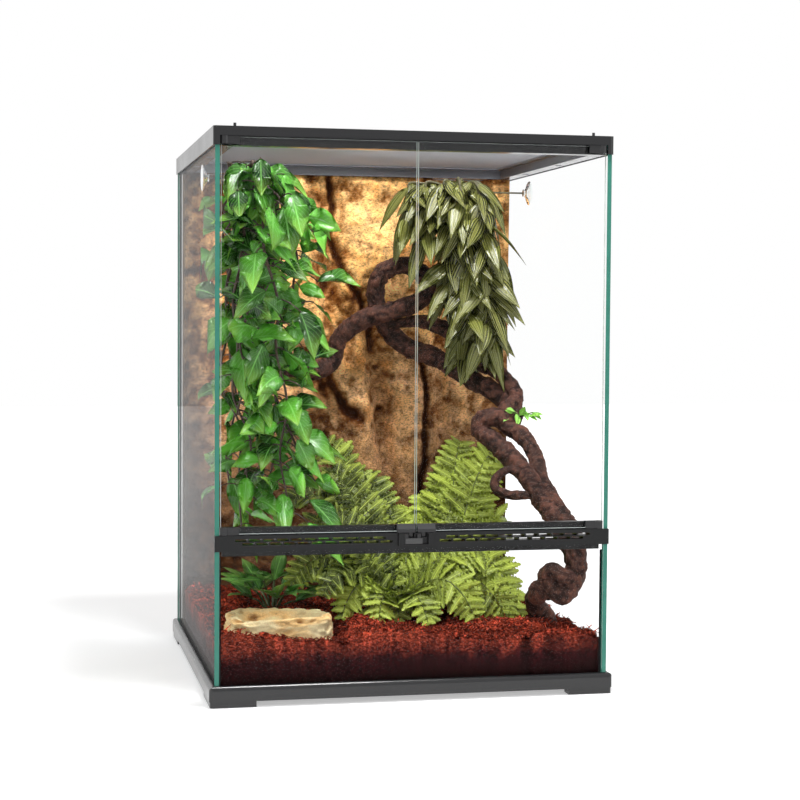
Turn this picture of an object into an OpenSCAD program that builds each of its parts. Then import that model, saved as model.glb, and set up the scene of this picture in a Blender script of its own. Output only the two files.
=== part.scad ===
// Front-opening glass terrarium with a vent strip, twin doors, a screen lid and its furnishing.
// Millimetres. Z up, front towards -Y, origin on the table under the middle of the base.

/* [Overall size] */
// Width of the base frame
base_w = 450; // [420:5:600]
// Depth of the base frame, front to back
base_d = 450; // [420:5:600]
// Height from the foot soles to the top rim
total_h = 618; // [540:1:760]

/* [Glass] */
// How far the glass walls stand in from the outside of the base frame
base_step = 6; // [5:0.5:10]
// Thickness of the wall, floor and window panes
glass_t = 5; // [4:0.5:6]
// Thickness of the two door panes
door_t = 4; // [3.5:0.1:4.5]
// Leg of the silicone bead in each inner corner
bead = 2.5; // [1.5:0.5:4]

/* [Base frame] */
// Height of the base frame with its feet
base_h = 23; // [20:1:34]
// Height of the feet
foot_h = 6.5; // [4:0.5:9]
// Length of a foot along the front and back
foot_front = 50; // [30:1:80]
// Length of a foot along the sides
foot_side = 66; // [30:1:90]
// Width of a foot's legs
foot_leg = 16; // [8:1:18]
// How far the feet stand in from the frame's outside
foot_inset = 0.8; // [0.4:0.2:2]
// Height of the floor pane's underside above the table
floor_rise = 12; // [11:0.5:14]
// Width of the ledge that carries the panes
base_ledge = 14; // [10:1:20]
// Radius that rounds the frame's top edge
base_round = 5; // [2:0.5:5]
// Radius of the frames' upright corners
corner_r = 4; // [2:0.5:6]

/* [Vent strip] */
// Height of the vent strip's underside
strip_z = 167; // [140:1:200]
// Height of the vent strip without its lip
strip_h = 17; // [16:0.5:22]
// Height of the lip behind the doors
strip_lip = 8; // [5:0.5:12]
// How far the strip stands in front of the glass
strip_proud = 3; // [2:0.5:4]
// Depth of the strip behind the front of the glass
strip_depth = 13; // [12:0.5:20]
// Length of one vent slot
slot_w = 13.4; // [8:0.2:14]
// Height of one vent slot
slot_h = 2.6; // [2:0.1:3]
// Slots in one row, on each side of the lock
slot_count = 11; // [6:1:11]
// Distance from slot to slot
slot_pitch = 15; // [14.5:0.1:15.2]
// Distance between the two rows
slot_row = 4; // [3.6:0.1:4.5]
// Distance from the middle of the strip to the first slots
slot_start = 30; // [28:1:34]

/* [Lock] */
// Width of the lock housing
lock_w = 40; // [36:1:48]
// Depth of the lock housing
lock_d = 16.5; // [14:0.5:16.5]
// Height of the lock housing
lock_h = 13.7; // [12.5:0.1:14.5]
// Travel of the lock bolt
lock_travel = 6; // [5:0.5:7]
// Width of the lock bolt
bolt_w = 20; // [18:0.5:21]
// Width of a bolt finger and of the door lug it blocks
lug_w = 4; // [3:0.5:4]
// Place of the left door's lug
lug_left_x = -5; // [-6:0.5:-4.5]
// Place of the right door's lug
lug_right_x = 9; // [8.5:0.5:10]

/* [Doors] */
// Gap between the two doors
door_gap = 2; // [1.5:0.5:4]
// Distance from a door's outer edge to its pivot
pivot_inset = 3.5; // [3:0.1:4]
// Radius of the hinge barrel
barrel_r = 4.8; // [4.6:0.1:5.4]
// Radius of a hinge pin
pin_r = 1.5; // [1:0.1:1.8]
// Length of a hinge pin
pin_l = 4.4; // [3:0.2:5]
// Length of a hinge shoe from its pivot
shoe_l = 16; // [12:1:24]
// Height of a hinge shoe
shoe_h = 8.6; // [7:0.2:9]
// Wall of the hinge shoes and pulls
shoe_wall = 1.1; // [0.9:0.1:1.3]
// Width of a door pull
pull_w = 20; // [16:1:30]
// Height of a door pull
pull_h = 9.2; // [7:0.2:12]

/* [Top frame] */
// How far the top frame stands out from the glass walls
top_step = 2; // [1.6:0.1:4]
// Height of the top frame
top_h = 20; // [20:1:26]
// Height of the recess that the doors overlap
recess_h = 10; // [9.6:0.2:10.4]
// Space between the back of the doors and the frames
door_back = 1.7; // [1.5:0.1:2.2]
// Thickness of the rim round the lid
rim_t = 8; // [7.5:0.5:10]
// Width of the ledge under the lid
lid_ledge = 15; // [12:1:20]
// Width of the rear bar that holds the cable ports
rear_bar = 34; // [32:1:44]

/* [Screen lid] */
// Thickness of the lid's outer flange
flange_t = 3.1; // [2.6:0.1:3.2]
// Width of the flange that the latches hold
flange_w = 7.5; // [7:0.5:9]
// Height of the lid's raised border
lid_h = 7.2; // [6:0.2:7.4]
// Width of the raised border
border_w = 16; // [12:1:22]
// Gaps of the screen from side to side and from front to back
screen_gaps = 14; // [10:1:17]
// Width of a screen wire
wire_w = 1.2; // [0.8:0.1:2]
// Thickness of the screen
wire_t = 1; // [0.8:0.1:1.4]
// Thickness of the sheet between the wires, in place of the fine mesh
web_t = 0.4; // [0.3:0.1:0.6]
// How far the screen reaches into the border
screen_in = 4; // [3:0.5:6]

/* [Latches and cable ports] */
// Distance of the front latches from the side of the base
latch_in = 27; // [27:1:45]
// Distance of the rear latches from the side of the base
rear_latch_in = 125; // [115:1:165]
// Width of a latch tongue
tongue_w = 11; // [8:0.5:11.4]
// Thickness of a latch tongue
tongue_t = 2.3; // [1.8:0.1:2.4]
// Length of a latch tongue
tongue_l = 6.4; // [5.8:0.2:6.4]
// Travel of a latch
latch_travel = 5; // [3:0.5:5]
// Radius of a latch knob
knob_r = 1.6; // [1.2:0.1:1.8]
// Height of a latch knob above the rim
knob_h = 3.5; // [2:0.5:5]
// Distance of the cable ports from the side of the base
port_in = 75; // [67:1:85]
// Length of a cable port
port_l = 34; // [24:1:34]
// Width of a cable port
port_w = 12; // [8:1:13]
// Travel of a port cover
port_travel = 38; // [26:1:38]
// Thickness of a port cover
cover_t = 2.2; // [1.8:0.1:2.4]

/* [Clearances] */
// Gap between pieces that are fixed to each other
seat = 0.1; // [0.05:0.05:0.2]
// Gap round pieces that move
run = 0.3; // [0.2:0.05:0.4]
// Gap between a hinge pin and its bore
pin_gap = 0.05; // [0.03:0.01:0.08]

/* [Background and substrate] */
// Mean thickness of the rock background
rock_t = 34; // [28:1:44]
// Height of the rock's relief
rock_relief = 13; // [6:1:14]
// Thickness of the rock's foot, behind the substrate
rock_foot = 58; // [52:1:64]
// Thickness of the substrate
soil_h = 52; // [44:1:60]
// Height of the substrate's mounds
soil_relief = 4; // [2:0.5:5]
// Substrate under the water dish
soil_under_dish = 38; // [32:1:40]

/* [Water dish] */
// Width of the dish
dish_w = 128; // [100:1:140]
// Depth of the dish
dish_d = 92; // [70:1:100]
// Height of the dish
dish_h = 33; // [26:1:40]
// Depth of the basin
basin_d = 17; // [10:1:22]

/* [Plants and vine] */
// Radius of the thick vine strand
vine_r = 11.5; // [8:0.5:12]
// Radius of the second vine strand
strand_r = 9.5; // [7:0.5:10]
// Radius of the thin tendril
tendril_r = 5.5; // [4:0.5:7]
// Leaf length of the broad-leaved plant
broad_leaf = 42; // [34:1:46]
// Leaf length of the striped plant
long_leaf = 66; // [54:1:70]
// Frond length of the big fern
frond = 200; // [170:1:215]
// Pairs of leaflets on a fern frond
leaflets = 7; // [6:1:9]
// Radius of a plant stem
stem_r = 1.6; // [1.2:0.1:2]
// Radius of a suction cup
cup_r = 15; // [12:1:18]

/* [Hidden] */

over = 1;                                   // how far a cut runs past a face
hair = 0.2;                                 // how far fused shapes reach into each other
wall_x = base_w / 2 - base_step;            // outer faces of the glass box
wall_y = base_d / 2 - base_step;
in_x = wall_x - glass_t;                    // inner faces of the glass box
in_y = wall_y - glass_t;
floor_top = floor_rise + glass_t;
top_z = total_h - top_h;                    // underside of the top frame
sill_z = strip_z + strip_h;                 // where the doors stand
head_z = top_z + recess_h;                  // where the doors end
frame_x = wall_x + top_step;                // outside of the top frame
frame_y = wall_y + top_step;
strip_y = wall_y + strip_proud;             // front of the vent strip
back_y = wall_y - door_t - door_back;       // front of the recess and of the lip
groove_top = head_z - 0.4;                  // how high the walls reach into the top frame

// doors
pivot_x = in_x - run - 0.1 - barrel_r;
pivot_y = wall_y - door_t / 2;
door_edge = pivot_x + pivot_inset;
door_low = sill_z + run + shoe_wall;
door_high = head_z - run - shoe_wall;

// lid and rear bar
seat_z = top_z + 11;                        // top of the lid's ledge
lid_x = frame_x - rim_t - run - 0.2;
bar_y = frame_y - rear_bar;                 // inner face of the rear bar
lid_front = -(frame_y - rim_t - run - 0.2);
lid_back = bar_y - run - 0.2;
lid_low = seat_z + run;
screen_z = lid_low + 1.3;
tongue_z = lid_low + flange_t + run;
latch_x = base_w / 2 - latch_in;
rear_latch_x = base_w / 2 - rear_latch_in;
port_x = base_w / 2 - port_in;
port_y = bar_y + 13;
cover_z = tongue_z + 0.2;
cover_w = port_w + 7;
cover_l = port_l + 8;
block_x0 = port_x - cover_l / 2 - 2;        // inner end of a port block
block_x1 = port_x + cover_l / 2 + port_travel + 2;
block_y = port_y + cover_w / 2 + 3;         // rear face of a port block

// lock
lock_z = sill_z - 0.3 - lock_h;
lock_front = base_d / 2 - 0.2;
bolt_front = lock_front - 0.6;
bolt_back = strip_y - 1.2;
bolt_low = lock_z + 1.6;
bolt_high = bolt_low + 6.8;
finger_high = lock_z + lock_h - 1.2;
bolt_left = -bolt_w / 2 - lock_travel / 2;
lug_low = bolt_high + 0.9;
lug_front = wall_y - 0.2;
lug_back = wall_y - door_t + 0.2;

// places inside, as percent of the half width, the half depth and the inner height
function inside(p) = [p.x / 100 * in_x, p.y / 100 * in_y, floor_top + p.z / 100 * (top_z - floor_top)];

module box(x0, x1, y0, y1, z0, z1) {
    translate([x0, y0, z0]) cube([x1 - x0, y1 - y0, z1 - z0]);
}

module slab(hx, hy, z0, z1) {
    box(-hx, hx, -hy, hy, z0, z1);
}

// flat outline with round corners
module round_rect(hx, hy, r) {
    square([2 * hx - 2 * r, 2 * hy], center = true);
    square([2 * hx, 2 * hy - 2 * r], center = true);
    for (sx = [-1, 1], sy = [-1, 1]) translate([sx * (hx - r), sy * (hy - r)]) circle(r, $fn = 40);
}

// profile in the plane across X, run from x0 to x1; its points are [y, z]
module along_x(x0, x1) {
    translate([x0, 0, 0]) rotate([90, 0, 90]) linear_extrude(x1 - x0) children();
}

// profile in the plane across Y, run from y0 to y1; its points are [x, z]
module along_y(y0, y1) {
    translate([0, y1, 0]) rotate([90, 0, 0]) linear_extrude(y1 - y0) children();
}

// half width h at the bottom, rounded off to the top by radius r
function round_top(h, z0, z1, r) = [
    [-h, z0], [h, z0],
    for (a = [0:15:90]) [h - r + r * cos(a), z1 - r + r * sin(a)],
    for (a = [90:15:180]) [-h + r + r * cos(a), z1 - r + r * sin(a)]
];

// ------------------------------------------------------------------ frames and glass

module base_frame() color([0.24, 0.24, 0.25]) {
    difference() {
        intersection() {
            along_y(-base_d / 2, base_d / 2) polygon(round_top(base_w / 2, foot_h, base_h, base_round));
            along_x(-base_w / 2, base_w / 2) polygon(round_top(base_d / 2, foot_h, base_h, base_round));
            linear_extrude(base_h) round_rect(base_w / 2, base_d / 2, corner_r);
        }
        slab(wall_x + seat, wall_y + seat, floor_rise, base_h + over);
        slab(wall_x - base_ledge, wall_y - base_ledge, 0, base_h);
    }
    for (sx = [-1, 1], sy = [-1, 1]) scale([sx, sy, 1]) foot();
    clip_x = base_w / 2 - foot_inset - foot_front - 4;
    box(clip_x, clip_x + 3, -base_d / 2 + 1, -base_d / 2 + 5, foot_h - 2.2, foot_h + hair);
}

// L-shaped foot at the corner towards +X and +Y
module foot() {
    fx = base_w / 2 - foot_inset;
    fy = base_d / 2 - foot_inset;
    difference() {
        box(fx - foot_front, fx, fy - foot_side, fy, 0, foot_h + hair);
        box(fx - foot_front - over, fx - foot_leg, fy - foot_side - over, fy - foot_leg,
            -over, foot_h + over);
        translate([fx - corner_r, fy - corner_r, -over]) difference() {
            cube([corner_r + over, corner_r + over, foot_h + 2 * over]);
            cylinder(r = corner_r, h = foot_h + 2 * over, $fn = 40);
        }
    }
}

module floor_glass() color([0.75, 0.9, 0.86, 0.5])
    slab(in_x - seat, in_y - seat, floor_rise, floor_top);

module side_glass(s) color([0.75, 0.9, 0.86, 0.35])
    scale([s, 1, 1]) box(in_x, wall_x, -wall_y, wall_y, floor_rise, groove_top);

module side_glass_left() side_glass(-1);
module side_glass_right() side_glass(1);

module back_glass() color([0.75, 0.9, 0.86, 0.35])
    box(-in_x + seat, in_x - seat, in_y, wall_y, floor_rise, groove_top);

module window_glass() color([0.75, 0.9, 0.86, 0.35])
    box(-in_x + seat, in_x - seat, -wall_y, -in_y, floor_rise, strip_z);

module corner_bead(x, y, z1) {
    translate([x, y, floor_top]) linear_extrude(z1 - floor_top)
        polygon([[0, 0], [-sign(x) * bead, 0], [0, -sign(y) * bead]]);
}

module silicone_beads() color([0.1, 0.1, 0.11]) {
    difference() {
        slab(in_x, in_y, floor_top, floor_top + bead);
        intersection() {
            along_y(-in_y - over, in_y + over) polygon([
                [-in_x + bead + over, floor_top - over], [in_x - bead - over, floor_top - over],
                [in_x + over, floor_top + bead + over], [-in_x - over, floor_top + bead + over]]);
            along_x(-in_x - over, in_x + over) polygon([
                [-in_y + bead + over, floor_top - over], [in_y - bead - over, floor_top - over],
                [in_y + over, floor_top + bead + over], [-in_y - over, floor_top + bead + over]]);
        }
    }
    for (s = [-1, 1]) {
        corner_bead(s * in_x, -in_y, strip_z - 7);
        corner_bead(s * in_x, in_y, top_z);
    }
}

// ------------------------------------------------------------------ vent strip and lock

module strip_slots() {
    row_z = strip_z + strip_h / 2 + 1.3;
    for (side = [-1, 1], row = [0, 1], i = [0:slot_count - 1]) {
        first = side < 0 ? -slot_start - slot_w - (slot_count - 1) * slot_pitch : slot_start;
        x = first + i * slot_pitch + (row - 0.5) * side * slot_pitch / -2;
        box(x, x + slot_w, -strip_y - over, -wall_y + strip_depth + over,
            row_z + (0.5 - row) * slot_row - slot_h / 2, row_z + (0.5 - row) * slot_row + slot_h / 2);
    }
}

module vent_strip() color([0.15, 0.16, 0.17]) {
    y_back = -wall_y + strip_depth;
    difference() {
        union() {
            along_x(-in_x + seat, in_x - seat) polygon([
                [-strip_y, strip_z], [y_back, strip_z], [y_back, sill_z + strip_lip],
                [-back_y, sill_z + strip_lip], [-back_y, sill_z], [-strip_y, sill_z]]);
            box(-wall_x - 0.5, wall_x + 0.5, -strip_y, -wall_y - seat, strip_z, sill_z);
            box(-in_x + bead + 1, in_x - bead - 1, -in_y + seat, -in_y + 2.2, strip_z - 6, strip_z + hair);
        }
        strip_slots();
        box(-lock_w / 2 - seat, lock_w / 2 + seat, -strip_y - over, -lock_front + lock_d + seat,
            lock_z - seat, sill_z + over);
        for (s = [-1, 1]) translate([s * pivot_x, -pivot_y, 0]) {
            translate([0, 0, sill_z - pin_l - 0.6]) cylinder(r = pin_r + pin_gap, h = pin_l + 2, $fn = 40);
            translate([0, 0, sill_z]) cylinder(r = barrel_r + run + 0.1, h = strip_lip + over, $fn = 48);
        }
    }
}

module lug_notch(x) {
    box(x - lug_w / 2 - 1, x + lug_w / 2 + 1, -lock_front - over, -lug_back + 0.8,
        lug_low - 0.5, sill_z + over);
}

module lock_housing() color([0.13, 0.13, 0.14]) difference() {
    box(-lock_w / 2, lock_w / 2, -lock_front, -lock_front + lock_d, lock_z, lock_z + lock_h);
    box(bolt_left - run, bolt_left + bolt_w + lock_travel + run, -lock_front - over, -bolt_back + run,
        bolt_low - run, finger_high + run);
    lug_notch(lug_left_x);
    lug_notch(lug_right_x);
}

module lock_bolt() color([0.16, 0.16, 0.17]) {
    box(bolt_left, bolt_left + bolt_w, -bolt_front, -bolt_back, bolt_low, bolt_high);
    for (x = [lug_left_x - lock_travel, lug_right_x - lock_travel])
        box(max(bolt_left, x - lug_w / 2), x + lug_w / 2, -bolt_front + 0.6, -bolt_back,
            bolt_high - hair, finger_high);
}

module lock_plate() color([0.55, 0.55, 0.56])
    box(bolt_left + 0.6, bolt_left + bolt_w - 0.6, -bolt_front - 0.5, -bolt_front,
        bolt_low + 0.5, bolt_high - 0.5);

// ------------------------------------------------------------------ top frame and lid

module pane_grooves() {
    gz0 = top_z - over;
    gz1 = groove_top + seat;
    for (s = [-1, 1]) scale([s, 1, 1])
        box(in_x - seat, wall_x + seat, -wall_y - seat, wall_y + seat, gz0, gz1);
    box(-wall_x, wall_x, in_y - seat, wall_y + seat, gz0, gz1);
}

// slot for a latch whose tongue slides in from the edge at y = 0 towards +Y
module latch_slot() {
    box(-tongue_w / 2 - run, tongue_w / 2 + run, -tongue_l - run - 0.2, over,
        tongue_z - run, tongue_z + tongue_t + run);
    box(-knob_r - run, knob_r + run, -tongue_l / 2 - 1 - knob_r - run, over, tongue_z, total_h + over);
}

module port_cut(s) {
    x0 = port_x - cover_l / 2 - run;
    x1 = port_x + cover_l / 2 + port_travel + run;
    scale([s, 1, 1]) {
        box(port_x - port_l / 2, port_x + port_l / 2, port_y - port_w / 2, port_y + port_w / 2,
            top_z - over, total_h);
        box(x0, x1, port_y - cover_w / 2 - run, port_y + cover_w / 2 + run,
            cover_z - run, cover_z + cover_t + run);
        box(x0, x1, port_y - cover_w / 2 + 2.5, port_y + cover_w / 2 - 2.5, cover_z, total_h + over);
    }
}

module top_frame() color([0.2, 0.2, 0.21]) difference() {
    translate([0, 0, top_z]) linear_extrude(top_h) round_rect(frame_x, frame_y, corner_r);
    box(-frame_x + rim_t, frame_x - rim_t, -frame_y + rim_t, bar_y, seat_z, total_h + over);
    box(-frame_x + rim_t + lid_ledge, frame_x - rim_t - lid_ledge, -frame_y + rim_t + lid_ledge,
        bar_y - lid_ledge, top_z - over, total_h);
    box(-in_x + seat, in_x - seat, -frame_y - over, -back_y, top_z - over, head_z);
    pane_grooves();
    for (s = [-1, 1]) {
        translate([s * pivot_x, -pivot_y, head_z - over])
            cylinder(r = pin_r + pin_gap, h = pin_l + 0.6 + over, $fn = 40);
        translate([s * pivot_x, -pivot_y, top_z - over])
            cylinder(r = barrel_r + run + 0.1, h = recess_h + over, $fn = 48);
        translate([s * latch_x, -frame_y + rim_t, 0]) latch_slot();
        translate([s * rear_latch_x, bar_y, 0]) rotate(180) latch_slot();
        scale([s, 1, 1]) box(block_x0, block_x1, bar_y - over, block_y, seat_z, total_h + over);
        scale([s, 1, 1]) box(block_x0, block_x1, bar_y, block_y, top_z - over, total_h);
        for (y = [-60, 80])
            box(s * (frame_x - rim_t - lid_ledge / 2) - 4, s * (frame_x - rim_t - lid_ledge / 2) + 4,
            y - 5, y + 5, top_z - over, top_z + 3);
    }
}

// insert in the rear bar that carries a cable port and the track of its cover
module port_block(s) color([0.2, 0.2, 0.21]) difference() {
    scale([s, 1, 1]) box(block_x0, block_x1, bar_y, block_y, top_z, total_h);
    port_cut(s);
}

module port_block_left() port_block(-1);
module port_block_right() port_block(1);

// thin outer flange of the lid, which the latches hold down
module lid_flange() color([0.16, 0.16, 0.17]) difference() {
    box(-lid_x, lid_x, lid_front, lid_back, lid_low, lid_low + flange_t);
    box(-lid_x + flange_w, lid_x - flange_w, lid_front + flange_w, lid_back - flange_w,
        lid_low - over, lid_low + flange_t + over);
}

module lid_frame() color([0.17, 0.17, 0.18]) difference() {
    box(-lid_x + flange_w, lid_x - flange_w, lid_front + flange_w, lid_back - flange_w,
        lid_low, lid_low + lid_h);
    inset = flange_w + border_w;
    box(-lid_x + inset, lid_x - inset, lid_front + inset, lid_back - inset,
        lid_low - over, lid_low + lid_h + over);
    groove = inset - screen_in - seat;
    box(-lid_x + groove, lid_x - groove, lid_front + groove, lid_back - groove,
        screen_z - seat, screen_z + wire_t + seat);
}

module lid_screen() color([0.1, 0.1, 0.1]) {
    inset = flange_w + border_w - screen_in;
    w = 2 * (lid_x - inset);
    d = lid_back - lid_front - 2 * inset;
    gap_x = (w - (screen_gaps + 1) * wire_w) / screen_gaps;
    gap_y = (d - (screen_gaps + 1) * wire_w) / screen_gaps;
    translate([-lid_x + inset, lid_front + inset, screen_z]) difference() {
        cube([w, d, wire_t]);
        for (i = [0:screen_gaps - 1], j = [0:screen_gaps - 1])
            translate([wire_w + i * (gap_x + wire_w), wire_w + j * (gap_y + wire_w), web_t])
                cube([gap_x, gap_y, wire_t]);
    }
}

// tongue with its knob, drawn against the edge at y = 0
module latch() color([0.12, 0.12, 0.13]) {
    box(-tongue_w / 2, tongue_w / 2, -tongue_l - 0.2, -0.2, tongue_z, tongue_z + tongue_t);
    translate([0, -tongue_l / 2 - 1, tongue_z + tongue_t - hair])
        cylinder(r = knob_r, h = total_h + knob_h - tongue_z - tongue_t + hair, $fn = 32);
}

module latch_front_left() translate([-latch_x, -frame_y + rim_t, 0]) latch();
module latch_front_right() translate([latch_x, -frame_y + rim_t, 0]) latch();
module latch_rear_left() translate([-rear_latch_x, bar_y, 0]) rotate(180) latch();
module latch_rear_right() translate([rear_latch_x, bar_y, 0]) rotate(180) latch();

module port_cover(s) color([0.14, 0.14, 0.15]) scale([s, 1, 1]) {
    box(port_x - cover_l / 2, port_x + cover_l / 2, port_y - cover_w / 2, port_y + cover_w / 2,
        cover_z, cover_z + cover_t);
    for (x = [-6:3:6])
        box(port_x + x - 0.7, port_x + x + 0.7, port_y - cover_w / 2 + 3.5, port_y + cover_w / 2 - 3.5,
        cover_z + cover_t - hair, total_h - 0.4);
}

module port_cover_left() port_cover(-1);
module port_cover_right() port_cover(1);

// ------------------------------------------------------------------ doors, drawn on the right

module door_glass(s) color([0.78, 0.92, 0.88, 0.3])
    scale([s, 1, 1]) box(door_gap / 2, door_edge, -wall_y, -wall_y + door_t, door_low, door_high);

module door_glass_left() door_glass(-1);
module door_glass_right() door_glass(1);

// shoe whose cap is at z = 0 and whose body hangs down
module hinge_shoe() {
    half = door_t / 2 + seat + shoe_wall;
    difference() {
        union() {
            translate([0, 0, -shoe_h]) cylinder(r = barrel_r, h = shoe_h, $fn = 48);
            box(-shoe_l, 0, -half, half, -shoe_h, 0);
        }
        box(-shoe_l - over, pivot_inset + seat, -door_t / 2 - seat, door_t / 2 + seat,
            -shoe_h - over, -shoe_wall + seat);
    }
    translate([0, 0, -hair]) cylinder(r = pin_r, h = pin_l + hair, $fn = 40);
}

module hinge_shoes(s) color([0.1, 0.1, 0.11]) scale([s, 1, 1]) translate([pivot_x, -pivot_y, 0]) {
    translate([0, 0, head_z - run]) hinge_shoe();
    translate([0, 0, sill_z + run]) scale([1, 1, -1]) hinge_shoe();
}

module hinge_shoes_left() hinge_shoes(-1);
module hinge_shoes_right() hinge_shoes(1);

module door_pull(s, lug_x) color([0.12, 0.12, 0.13]) {
    z0 = sill_z + run;
    z1 = z0 + pull_h;
    front = -lock_front + 0.4;
    x0 = door_gap / 2 + 0.3;
    scale([s, 1, 1]) along_x(x0, x0 + pull_w) polygon([
        [front, z0], [front, z0 + pull_h * 0.4], [-wall_y - 1.6, z1], [-wall_y - seat, z1],
        [-wall_y - seat, door_low - seat], [-wall_y + door_t + seat, door_low - seat],
        [-wall_y + door_t + seat, z1 - 3], [-wall_y + door_t + seat + shoe_wall, z1 - 3],
        [-wall_y + door_t + seat + shoe_wall, z0]]);
    box(lug_x - lug_w / 2, lug_x + lug_w / 2, -lug_front, -lug_back, lug_low, z0 + hair);
}

module door_pull_left() door_pull(-1, lug_left_x);
module door_pull_right() door_pull(1, lug_right_x);

// ------------------------------------------------------------------ relief blocks

// outline of a grid of nu by nv cells, as index pairs, anticlockwise
function ring(nu, nv) = concat(
    [for (i = [0:nu]) [i, 0]], [for (j = [1:nv]) [nu, j]],
    [for (i = [nu - 1:-1:0]) [i, nv]], [for (j = [nv - 1:-1:1]) [0, j]]);

// block whose face is the surface face(u, v), with a flat back through base(u, v)
module relief_block(nu, nv, face, base) {
    edge = ring(nu, nv);
    n = len(edge);
    first = (nu + 1) * (nv + 1);
    points = concat([for (j = [0:nv]) for (i = [0:nu]) face(i / nu, j / nv)],
        [for (e = edge) base(e[0] / nu, e[1] / nv)], [base(0.5, 0.5)]);
    function at(i, j) = j * (nu + 1) + i;
    faces = concat(
        [for (j = [0:nv - 1]) for (i = [0:nu - 1]) [at(i, j), at(i, j + 1), at(i + 1, j + 1)]],
        [for (j = [0:nv - 1]) for (i = [0:nu - 1]) [at(i, j), at(i + 1, j + 1), at(i + 1, j)]],
        [for (k = [0:n - 1]) let (e = edge[k], f = edge[(k + 1) % n])
            [at(e[0], e[1]), at(f[0], f[1]), first + (k + 1) % n]],
        [for (k = [0:n - 1]) let (e = edge[k]) [at(e[0], e[1]), first + (k + 1) % n, first + k]],
        [for (k = [0:n - 1]) [first + n, first + k, first + (k + 1) % n]]);
    polyhedron(points, faces);
}

function smooth(t) = let (c = max(0, min(1, t))) c * c * (3 - 2 * c);

// depth of a groove from a to b, 1 on its line and 0 beyond its width
function crease(p, a, b, width) =
    let (d = b - a, t = max(0, min(1, (p - a) * d / (d * d))), q = norm(p - a - t * d) / width) exp(-q * q);

// creases in the rock: start, end, width and depth, in shares of the width and of the height
creases = [
    [[-0.24, 1.02], [-0.16, 0.78], 0.05, 1.5],
    [[-0.16, 0.78], [-0.02, 0.6], 0.05, 1.2],
    [[0.12, 0.7], [0.2, 0.45], 0.07, 1.6],
    [[0.2, 0.45], [0.3, 0.1], 0.06, 1.3],
    [[-0.3, 0.6], [-0.02, 0.42], 0.035, 0.9],
    [[-0.34, 0.5], [-0.12, 0.36], 0.03, 0.7],
    [[-0.62, 0.95], [-0.55, 0.3], 0.05, 1.1],
    [[0.55, 1], [0.62, 0.2], 0.06, 1.2],
    [[-0.1, 0.36], [0.02, 0.08], 0.04, 0.8]
];

function rock_depth(u, v) =
    let (p = [u, v],
        swell = 0.9 * cos(150 * (u + 0.1)) * sin(60 + 150 * v) + 0.45 * sin(300 * u + 140 * v)
            + 0.3 * cos(520 * v - 210 * u) + 0.2 * sin(900 * u) * cos(760 * v),
        cuts = [for (c = creases) c[3] * crease(p, c[0], c[1], c[2])],
        total = swell - cuts * [for (c = creases) 1],
        calm = smooth((1 - v) / 0.06) * smooth((1 - abs(u)) / 0.05),
        shape = rock_t + rock_relief * total * (0.25 + 0.75 * calm),
        foot = smooth((0.15 - v) / 0.03),
        port = smooth((v - 0.84) / 0.06) * smooth((0.2 - abs(abs(u) - port_x / in_x)) / 0.06))
    (rock_foot * foot + min(rock_foot - 4, max(8, shape)) * (1 - foot)) * (1 - port) + under_port * port;

rock_x = in_x - bead - run;
under_port = 4.5;                           // rock left behind a cable that hangs from a port
rock_back = in_y - bead - run;
rock_high = top_z - run;

module rock_background() color([0.72, 0.52, 0.3]) relief_block(20, 24,
    function(u, v) [(2 * u - 1) * rock_x, rock_back - rock_depth(2 * u - 1, v),
        floor_top + v * (rock_high - floor_top)],
    function(u, v) [(2 * u - 1) * rock_x, rock_back, floor_top + v * (rock_high - floor_top)]);

// dish place and the flat it stands on
dish_at = inside([-65, -69, 0]);
soil_back = rock_back - rock_foot - run;
soil_front = -in_y + run;

function soil_z(x, y) =
    let (slope = soil_h - 7 * x / in_x - 5 * (y + in_y) / in_y,
        mounds = sin(2.1 * x + 1.1 * y) + 0.7 * cos(3.3 * y - 1.6 * x) + 0.5 * sin(5.1 * x) * cos(4.7 * y),
        rough = slope + soil_relief * mounds,
        far = max(abs(x - dish_at.x) - dish_w / 2, abs(y - dish_at.y) - dish_d / 2),
        bed = 1 - smooth((far - 20) / 24))
    floor_top + rough * (1 - bed) + soil_under_dish * bed;

module substrate() color([0.35, 0.12, 0.08]) {
    n = 18;
    side_x = function(u, v, inset) (2 * u - 1) * (in_x - run - inset);
    side_y = function(u, v, inset) soil_front + inset + v * (soil_back - soil_front - inset);
    corner = function(u, v) abs(2 * u - 1) == 1 && v == 0 ? bead : 0;
    relief_block(n, n,
        function(u, v) let (c = corner(u, v), x = side_x(u, v, c), y = side_y(u, v, c)) [x, y, soil_z(x, y)],
        function(u, v) [side_x(u, v, bead), side_y(u, v, bead), floor_top]);
}

// ------------------------------------------------------------------ water dish

dish_z = floor_top + soil_under_dish + run;

// outline radius of the dish at angle a, a round-cornered and slightly uneven rectangle
function dish_edge(a) =
    let (c = abs(cos(a)), s = abs(sin(a)), r = pow(pow(c, 3.2) + pow(s, 3.2), -1 / 3.2))
    r * (1 + 0.025 * sin(3 * a + 20) + 0.02 * sin(5 * a));

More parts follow.
